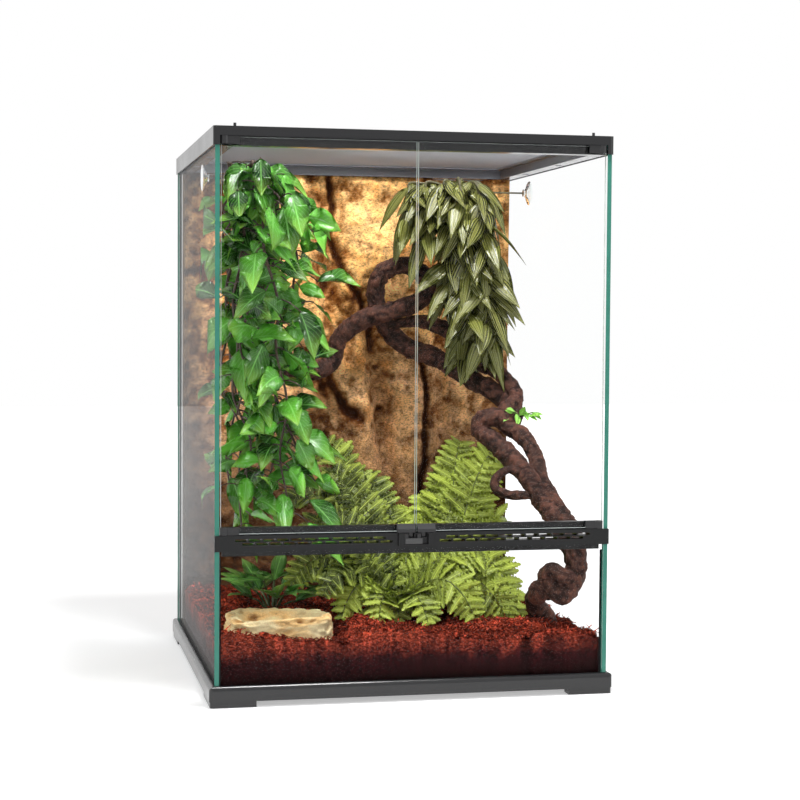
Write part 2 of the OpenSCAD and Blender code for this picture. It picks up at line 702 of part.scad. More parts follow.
module water_dish() color([0.86, 0.76, 0.55]) {
    n = 24;
    // share of the outline and height of each ring, from the sole up and down into the basin
    rings = [[0.88, 0], [0.98, dish_h * 0.3], [0.96, dish_h * 0.7], [0.88, dish_h * 0.97], [0.78, dish_h],
        [0.7, dish_h - 2], [0.62, dish_h - basin_d * 0.7], [0.5, dish_h - basin_d]];
    count = len(rings);
    points = [for (r = rings) for (k = [0:n - 1]) let (a = k * 360 / n, e = dish_edge(a) * r[0] * 0.96)
        [e * cos(a) * dish_w / 2, e * sin(a) * dish_d / 2, r[1]]];
    at = function(i, k) i * n + k % n;
    faces = concat(
        [[for (k = [0:n - 1]) at(0, k)]],
        [for (i = [0:count - 2]) for (k = [0:n - 1]) [at(i, k), at(i + 1, k), at(i + 1, k + 1)]],
        [for (i = [0:count - 2]) for (k = [0:n - 1]) [at(i, k), at(i + 1, k + 1), at(i, k + 1)]],
        [[for (k = [n - 1:-1:0]) at(count - 1, k)]]);
    translate([dish_at.x, dish_at.y, dish_z]) polyhedron(points, faces);
}

// ------------------------------------------------------------------ tubes, leaves and fronds

function unit(v) = v / norm(v);

// smooth curve through the points p, with steps per stretch
function curve(p, steps) = [
    for (i = [0:len(p) - 2]) for (k = [0:steps - 1]) let (t = k / steps,
        a = p[max(0, i - 1)], b = p[i], c = p[i + 1], d = p[min(len(p) - 1, i + 2)])
        0.5 * (2 * b + (c - a) * t + (2 * a - 5 * b + 4 * c - d) * t * t
            + (3 * b - a - 3 * c + d) * t * t * t),
    p[len(p) - 1]
];

// tube along path, whose radius at ring i is size(i)
module tube(path, sides, size) {
    n = len(path);
    ahead = [for (i = [0:n - 1]) unit(path[min(n - 1, i + 1)] - path[max(0, i - 1)])];
    start = unit(cross(ahead[0], abs(ahead[0].z) > 0.8 ? [1, 0, 0] : [0, 0, 1]));
    normals = [for (i = 0, m = start; i < n; i = i + 1,
        m = i < n ? unit(m - (m * ahead[i]) * ahead[i]) : m) m];
    points = [for (i = [0:n - 1]) for (k = [0:sides - 1])
        let (a = 360 * k / sides, s = cross(ahead[i], normals[i]))
        path[i] + size(i) * (cos(a) * normals[i] + sin(a) * s)];
    function at(i, k) = i * sides + k % sides;
    faces = concat(
        [[for (k = [0:sides - 1]) at(0, k)]],
        [for (i = [0:n - 2]) for (k = [0:sides - 1]) [at(i, k), at(i + 1, k), at(i + 1, k + 1)]],
        [for (i = [0:n - 2]) for (k = [0:sides - 1]) [at(i, k), at(i + 1, k + 1), at(i, k + 1)]],
        [[for (k = [sides - 1:-1:0]) at(n - 1, k)]]);
    polyhedron(points, faces);
}

// folded leaf from p along d, facing n, that droops towards its tip
module leaf(p, d, n, length, width, droop, thick) {
    side = unit(cross(d, n));
    up = unit(cross(side, d));
    function mid(t) = p + d * length * t - [0, 0, 1] * droop * length * t * t;
    function rim(t, w) = mid(t) + side * w * width / 2 + up * abs(w) * width * 0.16;
    points = [mid(0), rim(0.33, -1), rim(0.7, -0.72), mid(1), rim(0.7, 0.72), rim(0.33, 1),
        mid(0.45) + up * thick / 2, mid(0.45) - up * thick / 2];
    polyhedron(points, concat([for (k = [0:5]) [6, k, (k + 1) % 6]], [for (k = [0:5]) [7, (k + 1) % 6, k]]));
}

// swelling on a stem where a leaf stalk leaves it
module joint_knot(p, r) {
    hull() {
        translate(p - [0, 0, r]) sphere(r * 0.7, $fn = 5);
        translate(p + [0, 0, r * 0.6]) sphere(r, $fn = 5);
    }
}

function level(a) = [cos(a), sin(a), 0];

// ------------------------------------------------------------------ twisted vine

main_route = [
    [-86, 4, 56], [-70, 24, 58], [-46, 46, 58], [-26, 62, 57], [-14, 66, 59], [-10, 64, 64], [2, 60, 68],
    [18, 55, 70], [33, 50, 72], [42, 50, 75], [39, 53, 78], [29, 57, 80], [17, 60, 79], [12, 62, 76],
    [13, 64, 71], [20, 65, 66], [32, 62, 62], [47, 53, 60], [62, 39, 56], [74, 26, 53], [82, 12, 50],
    [79, 2, 47], [68, 2, 48], [61, 5, 46], [67, -2, 43], [74, -14, 40], [78, -32, 37], [83, -50, 32],
    [87, -68, 28], [90, -83, 23], [90, -86, 19], [84, -85, 15], [78, -80, 17], [74, -72, 15],
    [75, -64, 12], [82, -60, 9], [87, -58, 6]
];
second_route = [
    [19, 60, 67], [37, 56, 68], [52, 50, 66], [62, 43, 62], [69, 35, 59], [78, 27, 57], [84, 18, 54],
    [83, 10, 51], [75, 4, 49], [76, -2, 46], [83, -10, 44], [86, -24, 40], [85, -38, 36], [88, -54, 32],
    [90, -70, 29], [91, -84, 26], [91, -88, 22], [90, -88, 19], [84, -88, 19], [78, -84, 20],
    [76, -78, 18], [80, -72, 14]
];
tendril_route = [
    [84, -36, 35], [76, -34, 37], [68, -32, 38], [61, -31, 36], [61, -33, 34], [67, -37, 33],
    [74, -41, 33], [82, -44, 33]
];

// places along the main strand that carry a bark knot
knot_places = [8, 12, 16, 19, 22, 23, 25, 28, 32];

module twisted_vine() color([0.2, 0.1, 0.09]) {
    strand(main_route, 2, 6, function(i) vine_r * min(1, 0.3 + i / 11) * (1 + 0.06 * sin(91 * i)));
    strand(second_route, 2, 6, function(i) strand_r * min(1, 0.55 + i / 8) * (1 + 0.06 * sin(79 * i)));
    strand(tendril_route, 2, 5, function(i) tendril_r * (1 + 0.05 * sin(80 * i)));
    for (k = knot_places) hull() {
        translate(inside(main_route[k])) sphere(vine_r * 1.1, $fn = 6);
        translate((inside(main_route[k]) * 4 + inside(main_route[k + 1])) / 5) sphere(vine_r * 1.05, $fn = 6);
    }
}

module strand(route, steps, sides, size) {
    tube(curve([for (p = route) inside(p)], steps), sides, size);
}

// ------------------------------------------------------------------ hanging plants

cup_knob = 3;                               // length of a suction cup's knob
cup_reach = cup_r * 0.35 + cup_knob;        // how far a suction cup stands off its pane

// stems: top point, lower end, bend towards +X, number of leaves and turn of the first leaf
broad_stems = [
    [[-84, -46, 94], [-84, -58, 50], 6, 7, 10],
    [[-72, -30, 96], [-64, -36, 34], 16, 10, 130],
    [[-60, -14, 96], [-50, -18, 58], 14, 7, 250],
    [[-84, 8, 92], [-84, 0, 32], 8, 8, 60],
    [[-74, -56, 90], [-62, -66, 26], 10, 8, 190]
];
// knot that joins the stems' tops
broad_top = [-78, -26, 96];

// stalk from the knot of the stems to the knob of its suction cup
module hanger(top, s) {
    p = inside(top);
    tip = [s * (in_x - cup_reach - run), p.y, p.z];
    tube([tip, (tip + p) / 2, p], 6, function(i) stem_r * 1.5);
}

module broad_leaf_plant() color([0.2, 0.55, 0.16]) {
    hanger(broad_top, -1);
    for (s = broad_stems) {
        middle = (inside(s[0]) + inside(s[1])) / 2 + [s[2], 0, 0];
        path = curve([inside(broad_top), inside(s[0]), middle, inside(s[1])], 3);
        tube(path, 4, function(i) stem_r * (1.2 - 0.06 * i));
        for (k = [0:s[3] - 1]) {
            t = 2.2 + (len(path) - 3.4) * (k + 0.5) / s[3];
            p = path[floor(t)] + (path[floor(t) + 1] - path[floor(t)]) * (t - floor(t));
            turn = s[4] + 137 * k;
            away = inside_turn(p, turn);
            leaf(p, unit(level(away) * 0.8 - [0, 0, 0.45 + 0.2 * sin(50 * k)]), [0.1 * cos(turn), -0.35, 1],
                broad_leaf * (0.82 + 0.18 * sin(71 * k)), broad_leaf * 0.6, 0.25, 1.2);
            if (k % 4 == 2) joint_knot(p, stem_r * 1.3);
        }
    }
}

// heading that turns a leaf away from a side pane it would touch
function inside_turn(p, turn) =
    abs(p.x) > in_x - broad_leaf && sign(p.x) * cos(turn) > 0.1 ? 180 - turn : turn;

striped_stems = [
    [[24, 46, 95], [22, 42, 70], 8, 3, 20],
    [[44, 36, 95], [40, 30, 58], 12, 4, 100],
    [[58, 22, 95], [60, 8, 60], 8, 4, 200],
    [[76, 20, 94], [76, 6, 68], 4, 3, 300]
];
striped_top = [56, 42, 96];

module striped_plant() color([0.3, 0.38, 0.14]) {
    hanger(striped_top, 1);
    for (s = striped_stems) {
        middle = (inside(s[0]) + inside(s[1])) / 2 + [s[2], -4, 0];
        path = curve([inside(striped_top), inside(s[0]), middle, inside(s[1])], 3);
        tube(path, 4, function(i) stem_r * (1.3 - 0.05 * i));
        for (k = [0:s[3] - 1]) {
            t = 1.8 + (len(path) - 3) * (k + 0.4) / s[3];
            p = path[floor(t)] + (path[floor(t) + 1] - path[floor(t)]) * (t - floor(t));
            for (m = [0:1]) {
                turn = s[4] + 137 * k + 150 * m;
                leaf(p, unit([0.55 * cos(turn), -0.3 + 0.3 * sin(turn), -1]), [cos(turn), -1, 0.4],
                    long_leaf * (0.85 + 0.15 * sin(61 * k)), long_leaf * 0.24, 0.1, 1.4);
            }
            if (k % 2 == 0) joint_knot(p, stem_r * 1.4);
        }
    }
}

// ------------------------------------------------------------------ ferns and small plants

// fronds: heading, share of the full length, rise of the arch and droop of its end
large_fronds = [
    [352, 0.94, 1.9, 0.92], [18, 0.62, 2.1, 0.75], [52, 0.42, 3.4, 0.62], [84, 0.42, 4.2, 0.62],
    [112, 0.52, 4.3, 0.62], [140, 0.82, 3.4, 0.62], [166, 0.86, 2.5, 0.66], [184, 0.72, 1.7, 0.74],
    [214, 0.5, 1.8, 0.85], [246, 0.46, 1.5, 0.85], [284, 0.5, 1.4, 0.85], [320, 0.62, 1.6, 0.88]
];
small_fronds = [
    [2, 0.6, 2.8, 0.7], [18, 0.68, 3.7, 0.62], [52, 0.55, 4.7, 0.6], [110, 0.4, 4.4, 0.62],
    [146, 0.44, 3.4, 0.62], [190, 0.5, 2.4, 0.68], [306, 0.42, 2.5, 0.7]
];
large_at = [4, -30, 8];
small_at = [42, 18, 8];

// one frond that arches out from p, a midrib with a row of leaflets along each side
module fern_frond(p, heading, length, rise, droop) {
    n = leaflets;
    function along(t) = p + level(heading) * length * t * (1 - 0.1 * rise * t)
        + [0, 0, length * rise * (t * 0.95 - droop * t * t)];
    left = level(heading + 90);
    rib = [0, 0, stem_r * 0.7];
    function reach(t) = length * 0.26 * pow(sin(175 * pow(t, 0.8)), 1.2);
    function notch(i, w) = along(i / n) + left * w * (stem_r + 0.15 * reach(i / n));
    function tip(i, w) = along((i + 0.75) / n) + left * w * reach((i + 0.4) / n) - [0, 0, 0.2 * reach(i / n)];
    points = concat(
        [for (i = [0:n]) for (q = [along(i / n) + rib, along(i / n) - rib, notch(i, 1), notch(i, -1)]) q],
        [for (i = [0:n - 1]) for (w = [1, -1]) tip(i, w)], [along(1.06)]);
    t0 = 4 * (n + 1);
    e = 4 * n;
    last = t0 + 2 * n;
    faces = concat(
        [for (i = [0:n - 1]) let (a = 4 * i, l = t0 + 2 * i, r = l + 1) for (f = [
            [a, a + 2, l], [a, l, a + 6], [a, a + 6, a + 4], [a, r, a + 3], [a, a + 7, r], [a, a + 4, a + 7],
            [a + 1, l, a + 2], [a + 1, a + 6, l], [a + 1, a + 5, a + 6],
            [a + 1, a + 3, r], [a + 1, r, a + 7], [a + 1, a + 7, a + 5]]) f],
        [[0, 3, 1], [0, 1, 2], [e, e + 2, last], [e, last, e + 3],
            [e + 1, last, e + 2], [e + 1, e + 3, last]]);
    polyhedron(points, faces);
}

module fern(place, fronds, length) {
    p = inside(place);
    for (f = fronds) fern_frond(p, f[0], length * f[1], f[2], f[3]);
    joint_knot(p + [0, 0, 2], 7);
    for (k = [0:7]) hull() {
        translate(p - [0, 0, 12]) sphere(2.5, $fn = 4);
        translate(p + level(45 * k) * 5 + [0, 0, 6]) sphere(1.6, $fn = 4);
    }
}

module large_fern() color([0.45, 0.6, 0.2]) fern(large_at, large_fronds, frond);
module small_fern() color([0.5, 0.7, 0.22]) fern(small_at, small_fronds, frond);

ground_at = [-62, -22, 9];

module ground_plant() color([0.3, 0.6, 0.2]) {
    p = inside(ground_at);
    for (k = [0:7]) {
        heading = 45 * k + 12;
        top = p + level(heading) * (22 + 9 * sin(100 * k)) + [0, 0, 34 + 22 * cos(75 * k)];
        hull() {
            translate(p - [0, 0, 10]) sphere(stem_r, $fn = 5);
            translate(top) sphere(stem_r * 0.8, $fn = 5);
        }
        for (m = [-1, 1]) leaf(top, unit(level(heading + 40 * m) + [0, 0, 0.2]), [0, -0.2, 1],
            broad_leaf * 0.66, broad_leaf * 0.4, 0.3, 1);
    }
}

sprig_at = [84, 6, 48];

module leaf_sprig() color([0.5, 0.8, 0.25]) {
    p = inside(sprig_at) + [0, -vine_r, 2];
    for (k = [0:7]) {
        tip = p + [-14 + 4 * k, -7, 2 + 4 * sin(50 * k)];
        hull() {
            translate(p + [0, 3, -2]) sphere(stem_r * 0.8, $fn = 5);
            translate(tip) sphere(stem_r * 0.6, $fn = 5);
        }
        if (k % 2 == 0) leaf(tip, unit([-0.7 + 0.2 * k, -0.5, 0.35 * cos(110 * k)]), [0, -0.3, 1],
            broad_leaf * 0.42, broad_leaf * 0.16, 0.1, 0.9);
    }
}

// ------------------------------------------------------------------ suction cups

module suction_cup(p, s) translate(p) rotate([0, -90 * s, 0]) {
    cylinder(r1 = cup_r, r2 = cup_r * 0.35, h = cup_r * 0.35, $fn = 48);
    translate([0, 0, cup_r * 0.35 - hair]) cylinder(r = cup_r * 0.3, h = cup_knob + hair, $fn = 40);
}

module suction_cups() color([0.8, 0.82, 0.8, 0.6]) {
    left = inside(broad_top);
    right = inside(striped_top);
    suction_cup([-in_x, left.y, left.z], -1);
    suction_cup([in_x, right.y, right.z], 1);
}

base_frame();
floor_glass();
side_glass_left();
side_glass_right();
back_glass();
window_glass();
silicone_beads();
vent_strip();
lock_housing();
lock_bolt();
lock_plate();
top_frame();
port_block_left();
port_block_right();
lid_flange();
lid_frame();
lid_screen();
latch_front_left();
latch_front_right();
latch_rear_left();
latch_rear_right();
port_cover_left();
port_cover_right();
door_glass_left();
door_glass_right();
hinge_shoes_left();
hinge_shoes_right();
door_pull_left();
door_pull_right();
rock_background();
substrate();
water_dish();
twisted_vine();
broad_leaf_plant();
striped_plant();
large_fern();
small_fern();
ground_plant();
leaf_sprig();
suction_cups();
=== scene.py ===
"""Looks of a furnished glass terrarium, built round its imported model.

Lengths in the code are metres. The rock, soil, dish, vine and plants are surfaces worked out with numpy.
"""

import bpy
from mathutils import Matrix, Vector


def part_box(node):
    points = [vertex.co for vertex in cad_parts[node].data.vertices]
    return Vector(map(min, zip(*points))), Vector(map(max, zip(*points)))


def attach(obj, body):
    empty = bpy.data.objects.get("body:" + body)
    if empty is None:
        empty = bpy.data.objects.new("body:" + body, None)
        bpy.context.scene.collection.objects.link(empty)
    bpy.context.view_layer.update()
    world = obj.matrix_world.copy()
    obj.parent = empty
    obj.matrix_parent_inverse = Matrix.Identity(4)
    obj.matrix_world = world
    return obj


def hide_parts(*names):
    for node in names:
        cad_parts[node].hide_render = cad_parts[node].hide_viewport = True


bl_info = {
    "name": "Furnished glass terrarium",
    "version": (1, 0, 0),
    "blender": (4, 5, 0),
    "location": "View3D > Sidebar > Terrarium",
    "description": "Builds the glass, mouldings, rock, soil, dish, vine and plants of a terrarium",
    "category": "Add Mesh",
}

import bpy
import numpy as np
from bpy.props import FloatProperty, FloatVectorProperty, IntProperty, PointerProperty
from mathutils import Matrix

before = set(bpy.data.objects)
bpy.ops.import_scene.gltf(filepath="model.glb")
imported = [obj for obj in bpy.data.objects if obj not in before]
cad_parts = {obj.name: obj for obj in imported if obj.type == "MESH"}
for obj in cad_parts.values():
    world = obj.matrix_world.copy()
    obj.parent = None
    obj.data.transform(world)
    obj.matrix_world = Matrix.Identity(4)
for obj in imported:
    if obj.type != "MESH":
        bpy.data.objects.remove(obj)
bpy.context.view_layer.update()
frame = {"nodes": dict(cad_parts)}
ROOT = "enclosure"
MM = 0.001


def corners(node):
    """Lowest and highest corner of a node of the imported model, as arrays."""
    low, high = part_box(node)
    return np.array(low), np.array(high)


IN_X = corners("side_glass_right")[0][0]
IN_Y = corners("back_glass")[0][1]
FLOOR = corners("floor_glass")[1][2]
TOP = corners("top_frame")[0][2]
UP = np.array([0.0, 0.0, 1.0])


def inside(points):
    """Places given as percent of the half width, the half depth and the inner height, in metres."""
    p = np.asarray(points, float) / 100
    return np.stack([p[..., 0] * IN_X, p[..., 1] * IN_Y, FLOOR + p[..., 2] * (TOP - FLOOR)], -1)


# ---- numbers


def unit(v):
    """Vectors divided by their length."""
    return v / np.maximum(np.linalg.norm(v, axis=-1, keepdims=True), 1e-12)


def ease(t):
    """3t^2 - 2t^3 with t held between 0 and 1."""
    t = np.clip(t, 0, 1)
    return t * t * (3 - 2 * t)


HASH_FACTORS = np.array([374761393, 668265263, 2246822519], np.uint64)
SEED_FACTOR, LAST_FACTOR, LOW_32_BITS = 974711, np.uint64(1274126177), np.uint64(0xFFFFFFFF)


def lattice(p, seed):
    """Smooth noise from -1 to 1: an eased blend of hashed values at the eight cell corners round a point."""
    cell = np.floor(p).astype(np.int64)
    t = p - cell
    t = t * t * (3 - 2 * t)
    total = np.zeros(p.shape[:-1])
    for corner in range(8):
        step = np.array([corner & 1, corner >> 1 & 1, corner >> 2 & 1])
        q = (cell + step).astype(np.uint64)
        h = ((q * HASH_FACTORS).sum(-1) + np.uint64(seed * SEED_FACTOR)) & LOW_32_BITS
        h = ((h ^ (h >> np.uint64(13))) * LAST_FACTOR) & LOW_32_BITS
        value = ((h ^ (h >> np.uint64(16))) & np.uint64(0xFFFF)).astype(float) / 0x8000 - 1
        total += value * np.prod(np.where(step, t, 1 - t), axis=-1)
    return total


def rough(p, size, seed, octaves=4, gain=0.5):
    """Sum of lattice noises, each of half the size and gain times the height of the one before."""
    return sum(gain**k * lattice(p / size * 2**k, seed + k) for k in range(octaves))


def curve(points, steps):
    """Catmull-Rom curve through the points, with steps per stretch."""
    p = np.asarray(points, float)
    p = np.vstack([p[:1], p, p[-1:]])
    t = (np.arange(steps) / steps)[None, :, None]
    a, b, c, d = (p[k : len(p) - 3 + k, None] for k in range(4))
    arcs = 0.5 * (2 * b + (c - a) * t + (2 * a - 5 * b + 4 * c - d) * t**2 + (3 * b - a - 3 * c + d) * t**3)
    return np.vstack([arcs.reshape(-1, 3), p[-1:]])


def evenly(path, count):
    """Points at equal distances along a path."""
    run = np.concatenate([[0], np.cumsum(np.linalg.norm(np.diff(path, axis=0), axis=1))])
    at = np.linspace(0, run[-1], count)
    return np.stack([np.interp(at, run, path[:, k]) for k in range(3)], -1)


# ---- meshes


class Shape:
    """Points and faces that are joined before they become one piece, with one value per point."""

    def __init__(self):
        self.points, self.faces, self.values, self.uv, self.slots, self.count = [], [], [], [], [], 0

    def add(self, points, faces, value=0.0, uv=None, slot=0):
        """Adds points, faces that number them from nought, and a value and a UV place for each point."""
        points = np.asarray(points, float).reshape(-1, 3)
        self.points.append(points)
        self.values.append(np.broadcast_to(np.asarray(value, float).ravel(), (len(points),)))
        self.uv.append(np.zeros((len(points), 2)) if uv is None else np.asarray(uv, float).reshape(-1, 2))
        for f in faces:
            self.faces.append(np.asarray(f) + self.count)
            self.slots.append(np.full(len(f), slot))
        self.count += len(points)

    def piece(self, name, materials, node, body=ROOT, smooth=True):
        """Makes the mesh object. It stands for a node, takes the given materials and rides on a body."""
        points = np.vstack(self.points)
        faces, slots = self.faces, np.concatenate(self.slots)
        loops = np.concatenate([f.ravel() for f in faces]).astype(np.int32)
        sizes = np.concatenate([np.full(len(f), f.shape[1]) for f in faces])
        mesh = bpy.data.meshes.new(name)
        mesh.vertices.add(len(points))
        mesh.vertices.foreach_set("co", points.ravel())
        mesh.loops.add(len(loops))
        mesh.loops.foreach_set("vertex_index", loops)
        mesh.polygons.add(len(sizes))
        mesh.polygons.foreach_set("loop_start", np.concatenate([[0], np.cumsum(sizes)[:-1]]).astype(np.int32))
        mesh.polygons.foreach_set("material_index", slots.astype(np.int32))
        mesh.polygons.foreach_set("use_smooth", np.full(len(sizes), smooth))
        mesh.attributes.new("shade", "FLOAT", "POINT").data.foreach_set("value", np.concatenate(self.values))
        mesh.uv_layers.new(name="UVMap").data.foreach_set("uv", np.vstack(self.uv)[loops].ravel())
        mesh.update(calc_edges=True)
        if mesh.validate():
            raise RuntimeError(f"{name} had faces that had to be mended")
        for m in materials:
            mesh.materials.append(m)
        obj = bpy.data.objects.new(name, mesh)
        bpy.context.collection.objects.link(obj)
        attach(obj, body)
        if node:
            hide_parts(node)


def grid(rows, cols, wrap=False):
    """Four-sided faces between rows of cols points, closed round each row if wrap."""
    i = np.arange(rows - 1)[:, None] * cols
    j = np.arange(cols if wrap else cols - 1)[None]
    k = (j + 1) % cols
    return np.stack([i + j, i + k, i + cols + k, i + cols + j], -1).reshape(-1, 4)


def copies(faces, count, size):
    """The faces of one copy repeated for count copies of size points."""
    return (np.arange(count)[:, None, None] * size + faces[None]).reshape(-1, faces.shape[1])


def fan(ring, turn=False):
    """Triangles that close a ring of point numbers, from its last point."""
    ring = np.asarray(ring)[::-1] if turn else np.asarray(ring)
    return np.stack([np.full(len(ring) - 2, ring[-1]), ring[:-2], ring[1:-1]], -1)


def ring_faces(rows, cols, turn=False):
    """Faces between rows rings of cols points and over both ends, for rings that turn left about the way
    ahead, or right if turn."""
    body = grid(rows, cols, True)
    last = np.arange(cols) + (rows - 1) * cols
    return [body if turn else body[:, ::-1], fan(np.arange(cols), turn), fan(last, not turn)]


def sealed_sheet(shape, sheet, drop, middle, shade, drop_shade):
    """Adds a sheet of rows by cols points, a wall from its edge to the points that drop makes from those of
    the edge, and triangles from there to a middle point."""
    rows, cols = sheet.shape[:2]
    n = rows * cols
    edge = np.concatenate([np.arange(cols), np.arange(1, rows) * cols + cols - 1,
                           n - cols + np.arange(cols - 2, -1, -1), np.arange(rows - 2, 0, -1) * cols])
    m = len(edge)
    k = np.arange(m)
    after = (k + 1) % m
    wall = np.stack([edge, n + k, n + after, edge[after]], -1)
    cap = np.stack([np.full(m, n + m), n + after, n + k], -1)
    points = sheet.reshape(-1, 3)
    shape.add(np.vstack([points, drop(points[edge].copy()), [middle]]), [grid(rows, cols), wall, cap],
              np.concatenate([shade.ravel(), np.full(m + 1, drop_shade)]))


def tubes(shape, paths, radius, sides, value=0.0, slot=0):
    """Adds tubes along paths, an array of tubes by points by 3: rings of the radius square to each path."""
    paths = np.asarray(paths, float)
    count, steps = paths.shape[:2]
    ahead = unit(np.gradient(paths, axis=1))
    aside = unit(np.cross(ahead, np.array([0.31, 0.87, 0.38])))
    over = np.cross(ahead, aside)
    a = 2 * np.pi * np.arange(sides) / sides
    ring = np.cos(a)[:, None] * aside[:, :, None] + np.sin(a)[:, None] * over[:, :, None]
    size = np.broadcast_to(radius, (count, steps))[..., None, None]
    points = paths[:, :, None] + size * ring
    n = steps * sides
    along = np.broadcast_to(np.linspace(0, 1, steps)[None, :, None], (count, steps, sides))
    about = np.broadcast_to(np.arange(sides) / sides, (count, steps, sides))
    shape.add(points, [copies(f, count, n) for f in ring_faces(steps, sides)],
              np.repeat(np.broadcast_to(value, (count,)), n), np.stack([about, along], -1), slot)


def blades(shape, base, along, upper, length, width, outline, droop=0.2, fold=0.3, wave=0.0, thick=0.0004,
           teeth=1.0, value=0.0, slot=0, seed=1):
    """Adds leaf blades. A blade's middle line runs from its base along its direction and droops with t^2, its
    half width at t is outline(t), its sides rise by fold and by a wave along the edge, and its underside
    meets its top at the edge."""
    n = len(base)
    ends = len(outline)
    t = np.linspace(0, 1, ends)[None, :, None]
    across = unit(np.cross(upper, along))
    out = np.cross(along, across)

    def full(v):
        """One value for each blade, ready to be spread over its points."""
        return np.broadcast_to(np.asarray(v, float), (n,))[:, None, None]

    phase = np.random.default_rng(seed).uniform(0, 2 * np.pi, n)[:, None, None]
    s = np.array([-1, -0.5, 0, 0.5, 1, 0])[None, None]
    half = full(width) / 2 * outline[None, :, None] * np.broadcast_to(teeth, ends)[None, :, None]
    rise = half * (full(fold) * np.abs(s) + full(wave) * np.abs(s) * np.sin(9 * t + phase + 2 * s))
    rise = rise - thick * (np.arange(6) == 5)[None, None] * (0.3 + 0.7 * outline[None, :, None])
    shift = full(length) * t
    middle = base[:, None, None] + along[:, None, None] * shift[..., None]
    middle = middle - UP * (full(droop) * full(length) * t * t)[..., None]
    points = middle + across[:, None, None] * (half * s)[..., None] + out[:, None, None] * rise[..., None]
    size = ends * 6
    uv = np.stack(np.broadcast_arrays(s * 0.5 + 0.5 + 0 * t, t + 0 * s), -1)
    shape.add(points, [copies(f, n, size) for f in ring_faces(ends, 6)],
              np.repeat(np.broadcast_to(value, (n,)), size), np.broadcast_to(uv, (n, ends, 6, 2)), slot)


def held_in(shape, margin=0.0015, low=FLOOR):
    """Presses every point of a shape back inside the panes, over low and under the top frame."""
    for p in shape.points:
        p[:, 0] = np.clip(p[:, 0], margin - IN_X, IN_X - margin)
        p[:, 1] = np.clip(p[:, 1], margin - IN_Y, IN_Y - margin)
        p[:, 2] = np.clip(p[:, 2], low, TOP - margin)


# ---- materials


def add(tree, kind, sockets=None, **settings):
    """A shader node with its settings, and its sockets set to values or linked to other sockets."""
    node = tree.nodes.new("ShaderNode" + kind)
    for key, value in settings.items():
        setattr(node, key, value)
    for key, value in (sockets or {}).items():
        if isinstance(value, bpy.types.NodeSocket):
            tree.links.new(value, node.inputs[key])
        else:
            node.inputs[key].default_value = value
    return node


def ramp(tree, factor, stops):
    """Colour ramp over (place, colour) stops."""
    node = add(tree, "ValToRGB", {"Fac": factor})
    while len(node.color_ramp.elements) < len(stops):
        node.color_ramp.elements.new(0.5)
    for element, (place, colour) in zip(node.color_ramp.elements, stops):
        element.position = place
        element.color = (*colour, 1)
    return node.outputs["Color"]


def grey(value):
    """A grey."""
    return (value, value, value)


def blend(tree, factor, a, b, mode="MIX"):
    """Mix of two colours."""
    node = add(tree, "Mix", data_type="RGBA", blend_type=mode)
    for socket, value in ((node.inputs[0], factor), (node.inputs[6], a), (node.inputs[7], b)):
        if isinstance(value, bpy.types.NodeSocket):
            tree.links.new(value, socket)
        else:
            socket.default_value = (*value, 1) if hasattr(value, "__len__") and len(value) == 3 else value
    return node.outputs[2]


def tinted(tree, base, factor, stops, share=1.0):
    """A colour multiplied by a ramp over a factor, by a share."""
    return blend(tree, share, base, ramp(tree, factor, stops), "MULTIPLY")


def shaded(tree, factor, colour, low, high):
    """A colour that goes with a factor from low to high times itself."""
    return blend(tree, factor, tuple(c * low for c in colour), tuple(min(1, c * high) for c in colour))


def place(tree):
    """Object coordinates."""
    return add(tree, "TexCoord").outputs["Object"]


def part(tree, vector, axis):
    """The part of a vector along X, Y or Z."""
    return add(tree, "SeparateXYZ", {"Vector": vector}).outputs[axis]


def facing(tree, axis):
    """The part along an axis of the direction in which the surface faces."""
    return part(tree, add(tree, "TexCoord").outputs["Normal"], axis)


def own_shade(tree):
    """The value that the mesh carries at each point."""
    return add(tree, "Attribute", attribute_name="shade").outputs["Fac"]


def span(tree, value, low, high, **ends):
    """How far a value is from low to high, from 0 to 1 or between the ends that are given."""
    sockets = {"Value": value, "From Min": low, "From Max": high, **ends}
    return add(tree, "MapRange", sockets).outputs["Result"]


def noise(tree, vector, scale, detail=4.0, harsh=0.5, stretch=None):
    """Noise texture's factor on a vector, stretched by a factor along each axis."""
    if stretch:
        vector = add(tree, "Mapping", {"Vector": vector, "Scale": stretch}).outputs["Vector"]
    node = add(tree, "TexNoise", {"Vector": vector, "Scale": scale, "Detail": detail, "Roughness": harsh})
    return node.outputs["Fac"]


def maths(tree, operation, a, b=0.0):
    """Result of a sum on one or two values."""
    return add(tree, "Math", {0: a, 1: b}, operation=operation).outputs["Value"]


def swing(tree, value, size):
    """A value from 0 to 1 turned into one about nought, times a size."""
    return maths(tree, "MULTIPLY", maths(tree, "SUBTRACT", value, 0.5), size)


def from_middle(tree, value):
    """Distance of a value from a half."""
    return maths(tree, "ABSOLUTE", maths(tree, "SUBTRACT", value, 0.5))


def bump(tree, height, strength, distance, normal=None):
    """Normals tilted by a height, on top of other normals if given."""
    sockets = {"Height": height, "Strength": strength, "Distance": distance}
    if normal:
        sockets["Normal"] = normal
    return add(tree, "Bump", sockets).outputs["Normal"]


def material(name):
    """A new material and its empty node tree."""
    m = bpy.data.materials.new(name)
    m.use_nodes = True
    m.node_tree.nodes.clear()
    return m, m.node_tree


def mix_shader(tree, factor, first, second):
    """Mix of two shaders by a factor."""
    return add(tree, "MixShader", {"Fac": factor, 1: first.outputs[0], 2: second.outputs[0]})


def finish(tree, shader, output="OutputMaterial"):
    """Joins a shader to the output."""
    add(tree, output, {"Surface": shader.outputs[0]})


